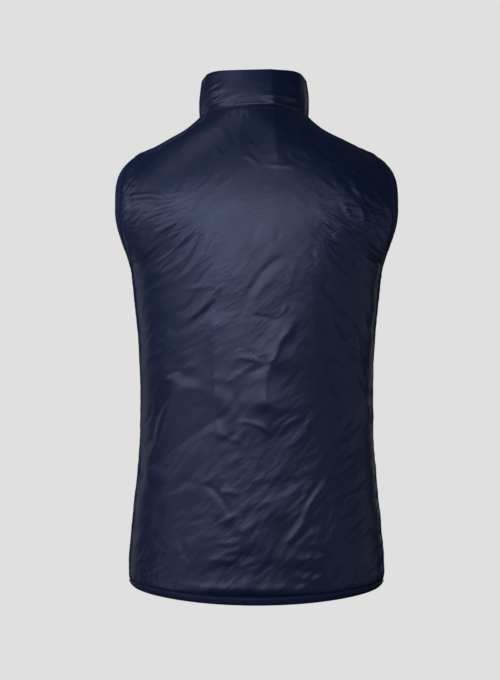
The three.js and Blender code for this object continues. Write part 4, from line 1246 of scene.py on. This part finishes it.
world = bpy.data.worlds.new("studio")
scene.world = world
world.use_nodes = True
world_nodes, world_links = world.node_tree.nodes, world.node_tree.links
seen = world_nodes["Background"]
set_inputs(seen, Color=(0.745, 0.745, 0.745, 1))
lit = world_nodes.new("ShaderNodeBackground")
set_inputs(lit, Color=(0.8, 0.85, 1.0, 1), Strength=0.01)
path = world_nodes.new("ShaderNodeLightPath")
mix = world_nodes.new("ShaderNodeMixShader")
world_links.new(path.outputs["Is Camera Ray"], mix.inputs["Fac"])
world_links.new(lit.outputs[0], mix.inputs[1])
world_links.new(seen.outputs[0], mix.inputs[2])
world_links.new(mix.outputs[0], world_nodes["World Output"].inputs["Surface"])


def softbox(name, azimuth, climb, distance, size, power):
    """A softbox round the chest. Azimuth 0 is behind the back, where the camera is, and 90 is the left arm."""
    data = bpy.data.lights.new(name, "AREA")
    data.shape = "RECTANGLE"
    data.size, data.size_y = size
    data.energy = power
    a, c = math.radians(azimuth), math.radians(climb)
    way = Vector((math.sin(a) * math.cos(c), math.cos(a) * math.cos(c), math.sin(c)))
    obj = bpy.data.objects.new(name, data)
    obj.location = Vector((0, 0.05, -0.2)) + way * distance
    obj.rotation_mode = "QUATERNION"
    obj.rotation_quaternion = way.to_track_quat("Z", "Y")
    obj.visible_camera = False
    scene.collection.objects.link(obj)


# columns: name, azimuth, climb, distance, size, power
SOFTBOXES = (
    ("key_left", 32, 6, 1.25, (0.8, 0.4), 4.8),
    ("key_middle", 2, 5, 1.25, (0.6, 0.4), 3.0),
    ("key_right", -24, 4, 1.25, (0.5, 0.36), 1.75),
    ("key_high", 6, 21, 1.25, (0.5, 0.35), 1.6),
    ("side_left", 72, 16, 1.4, (0.8, 0.6), 4.2),
    ("top_left", 58, 58, 1.25, (0.5, 0.5), 1.3),
    ("low_left", 60, -34, 1.35, (0.9, 0.4), 1.6),
    ("low_right", -45, -38, 1.35, (0.9, 0.4), 0.3),
    ("rim_right", -68, -18, 1.9, (0.7, 0.9), 1.0),
    ("edge_right", -100, -12, 1.9, (0.9, 0.9), 0.95),
    ("edge_left", 135, -5, 1.9, (0.7, 1.2), 1.45),
    ("front_left", 172, 8, 1.9, (0.8, 1.2), 9.0),
    ("front_right", 200, 3, 1.9, (0.8, 1.2), 4.0),
)
for row in SOFTBOXES:
    softbox(*row)

FLOOR_RADIUS, FLOOR_HEIGHT, FLOOR_SIDES = 1900, -1350, 96
floor_turns = np.linspace(0, 2 * math.pi, FLOOR_SIDES + 1)[:-1]
floor_points = [[FLOOR_RADIUS * math.cos(t), FLOOR_RADIUS * math.sin(t), FLOOR_HEIGHT] for t in floor_turns]
floor_mesh = bpy.data.meshes.new("floor")
floor_mesh.from_pydata((np.array(floor_points) / 1000).tolist(), [], [list(range(FLOOR_SIDES))])
floor = bpy.data.objects.new("floor", floor_mesh)
scene.collection.objects.link(floor)
pale, floor_nodes, floor_links, floor_shader = new_material("pale_floor")
floor_coords = floor_nodes.new("ShaderNodeTexCoord").outputs["Object"]
mottle = noise_node(floor_nodes, floor_links, floor_coords, 6.0, 4.0)
glow = ramp(floor_nodes, floor_links, mottle.outputs["Fac"], [(0.3, 0.665), (0.7, 0.685)])
floor_links.new(glow.outputs["Color"], floor_shader.inputs["Emission Color"])
set_inputs(floor_shader, Emission_Strength=1.0, Base_Color=(0.14, 0.14, 0.14, 1), Roughness=0.8)
floor_mesh.materials.append(pale)
# the floor glows like the backdrop and sends no light up at the cloth
floor.visible_diffuse = False
floor.visible_glossy = False
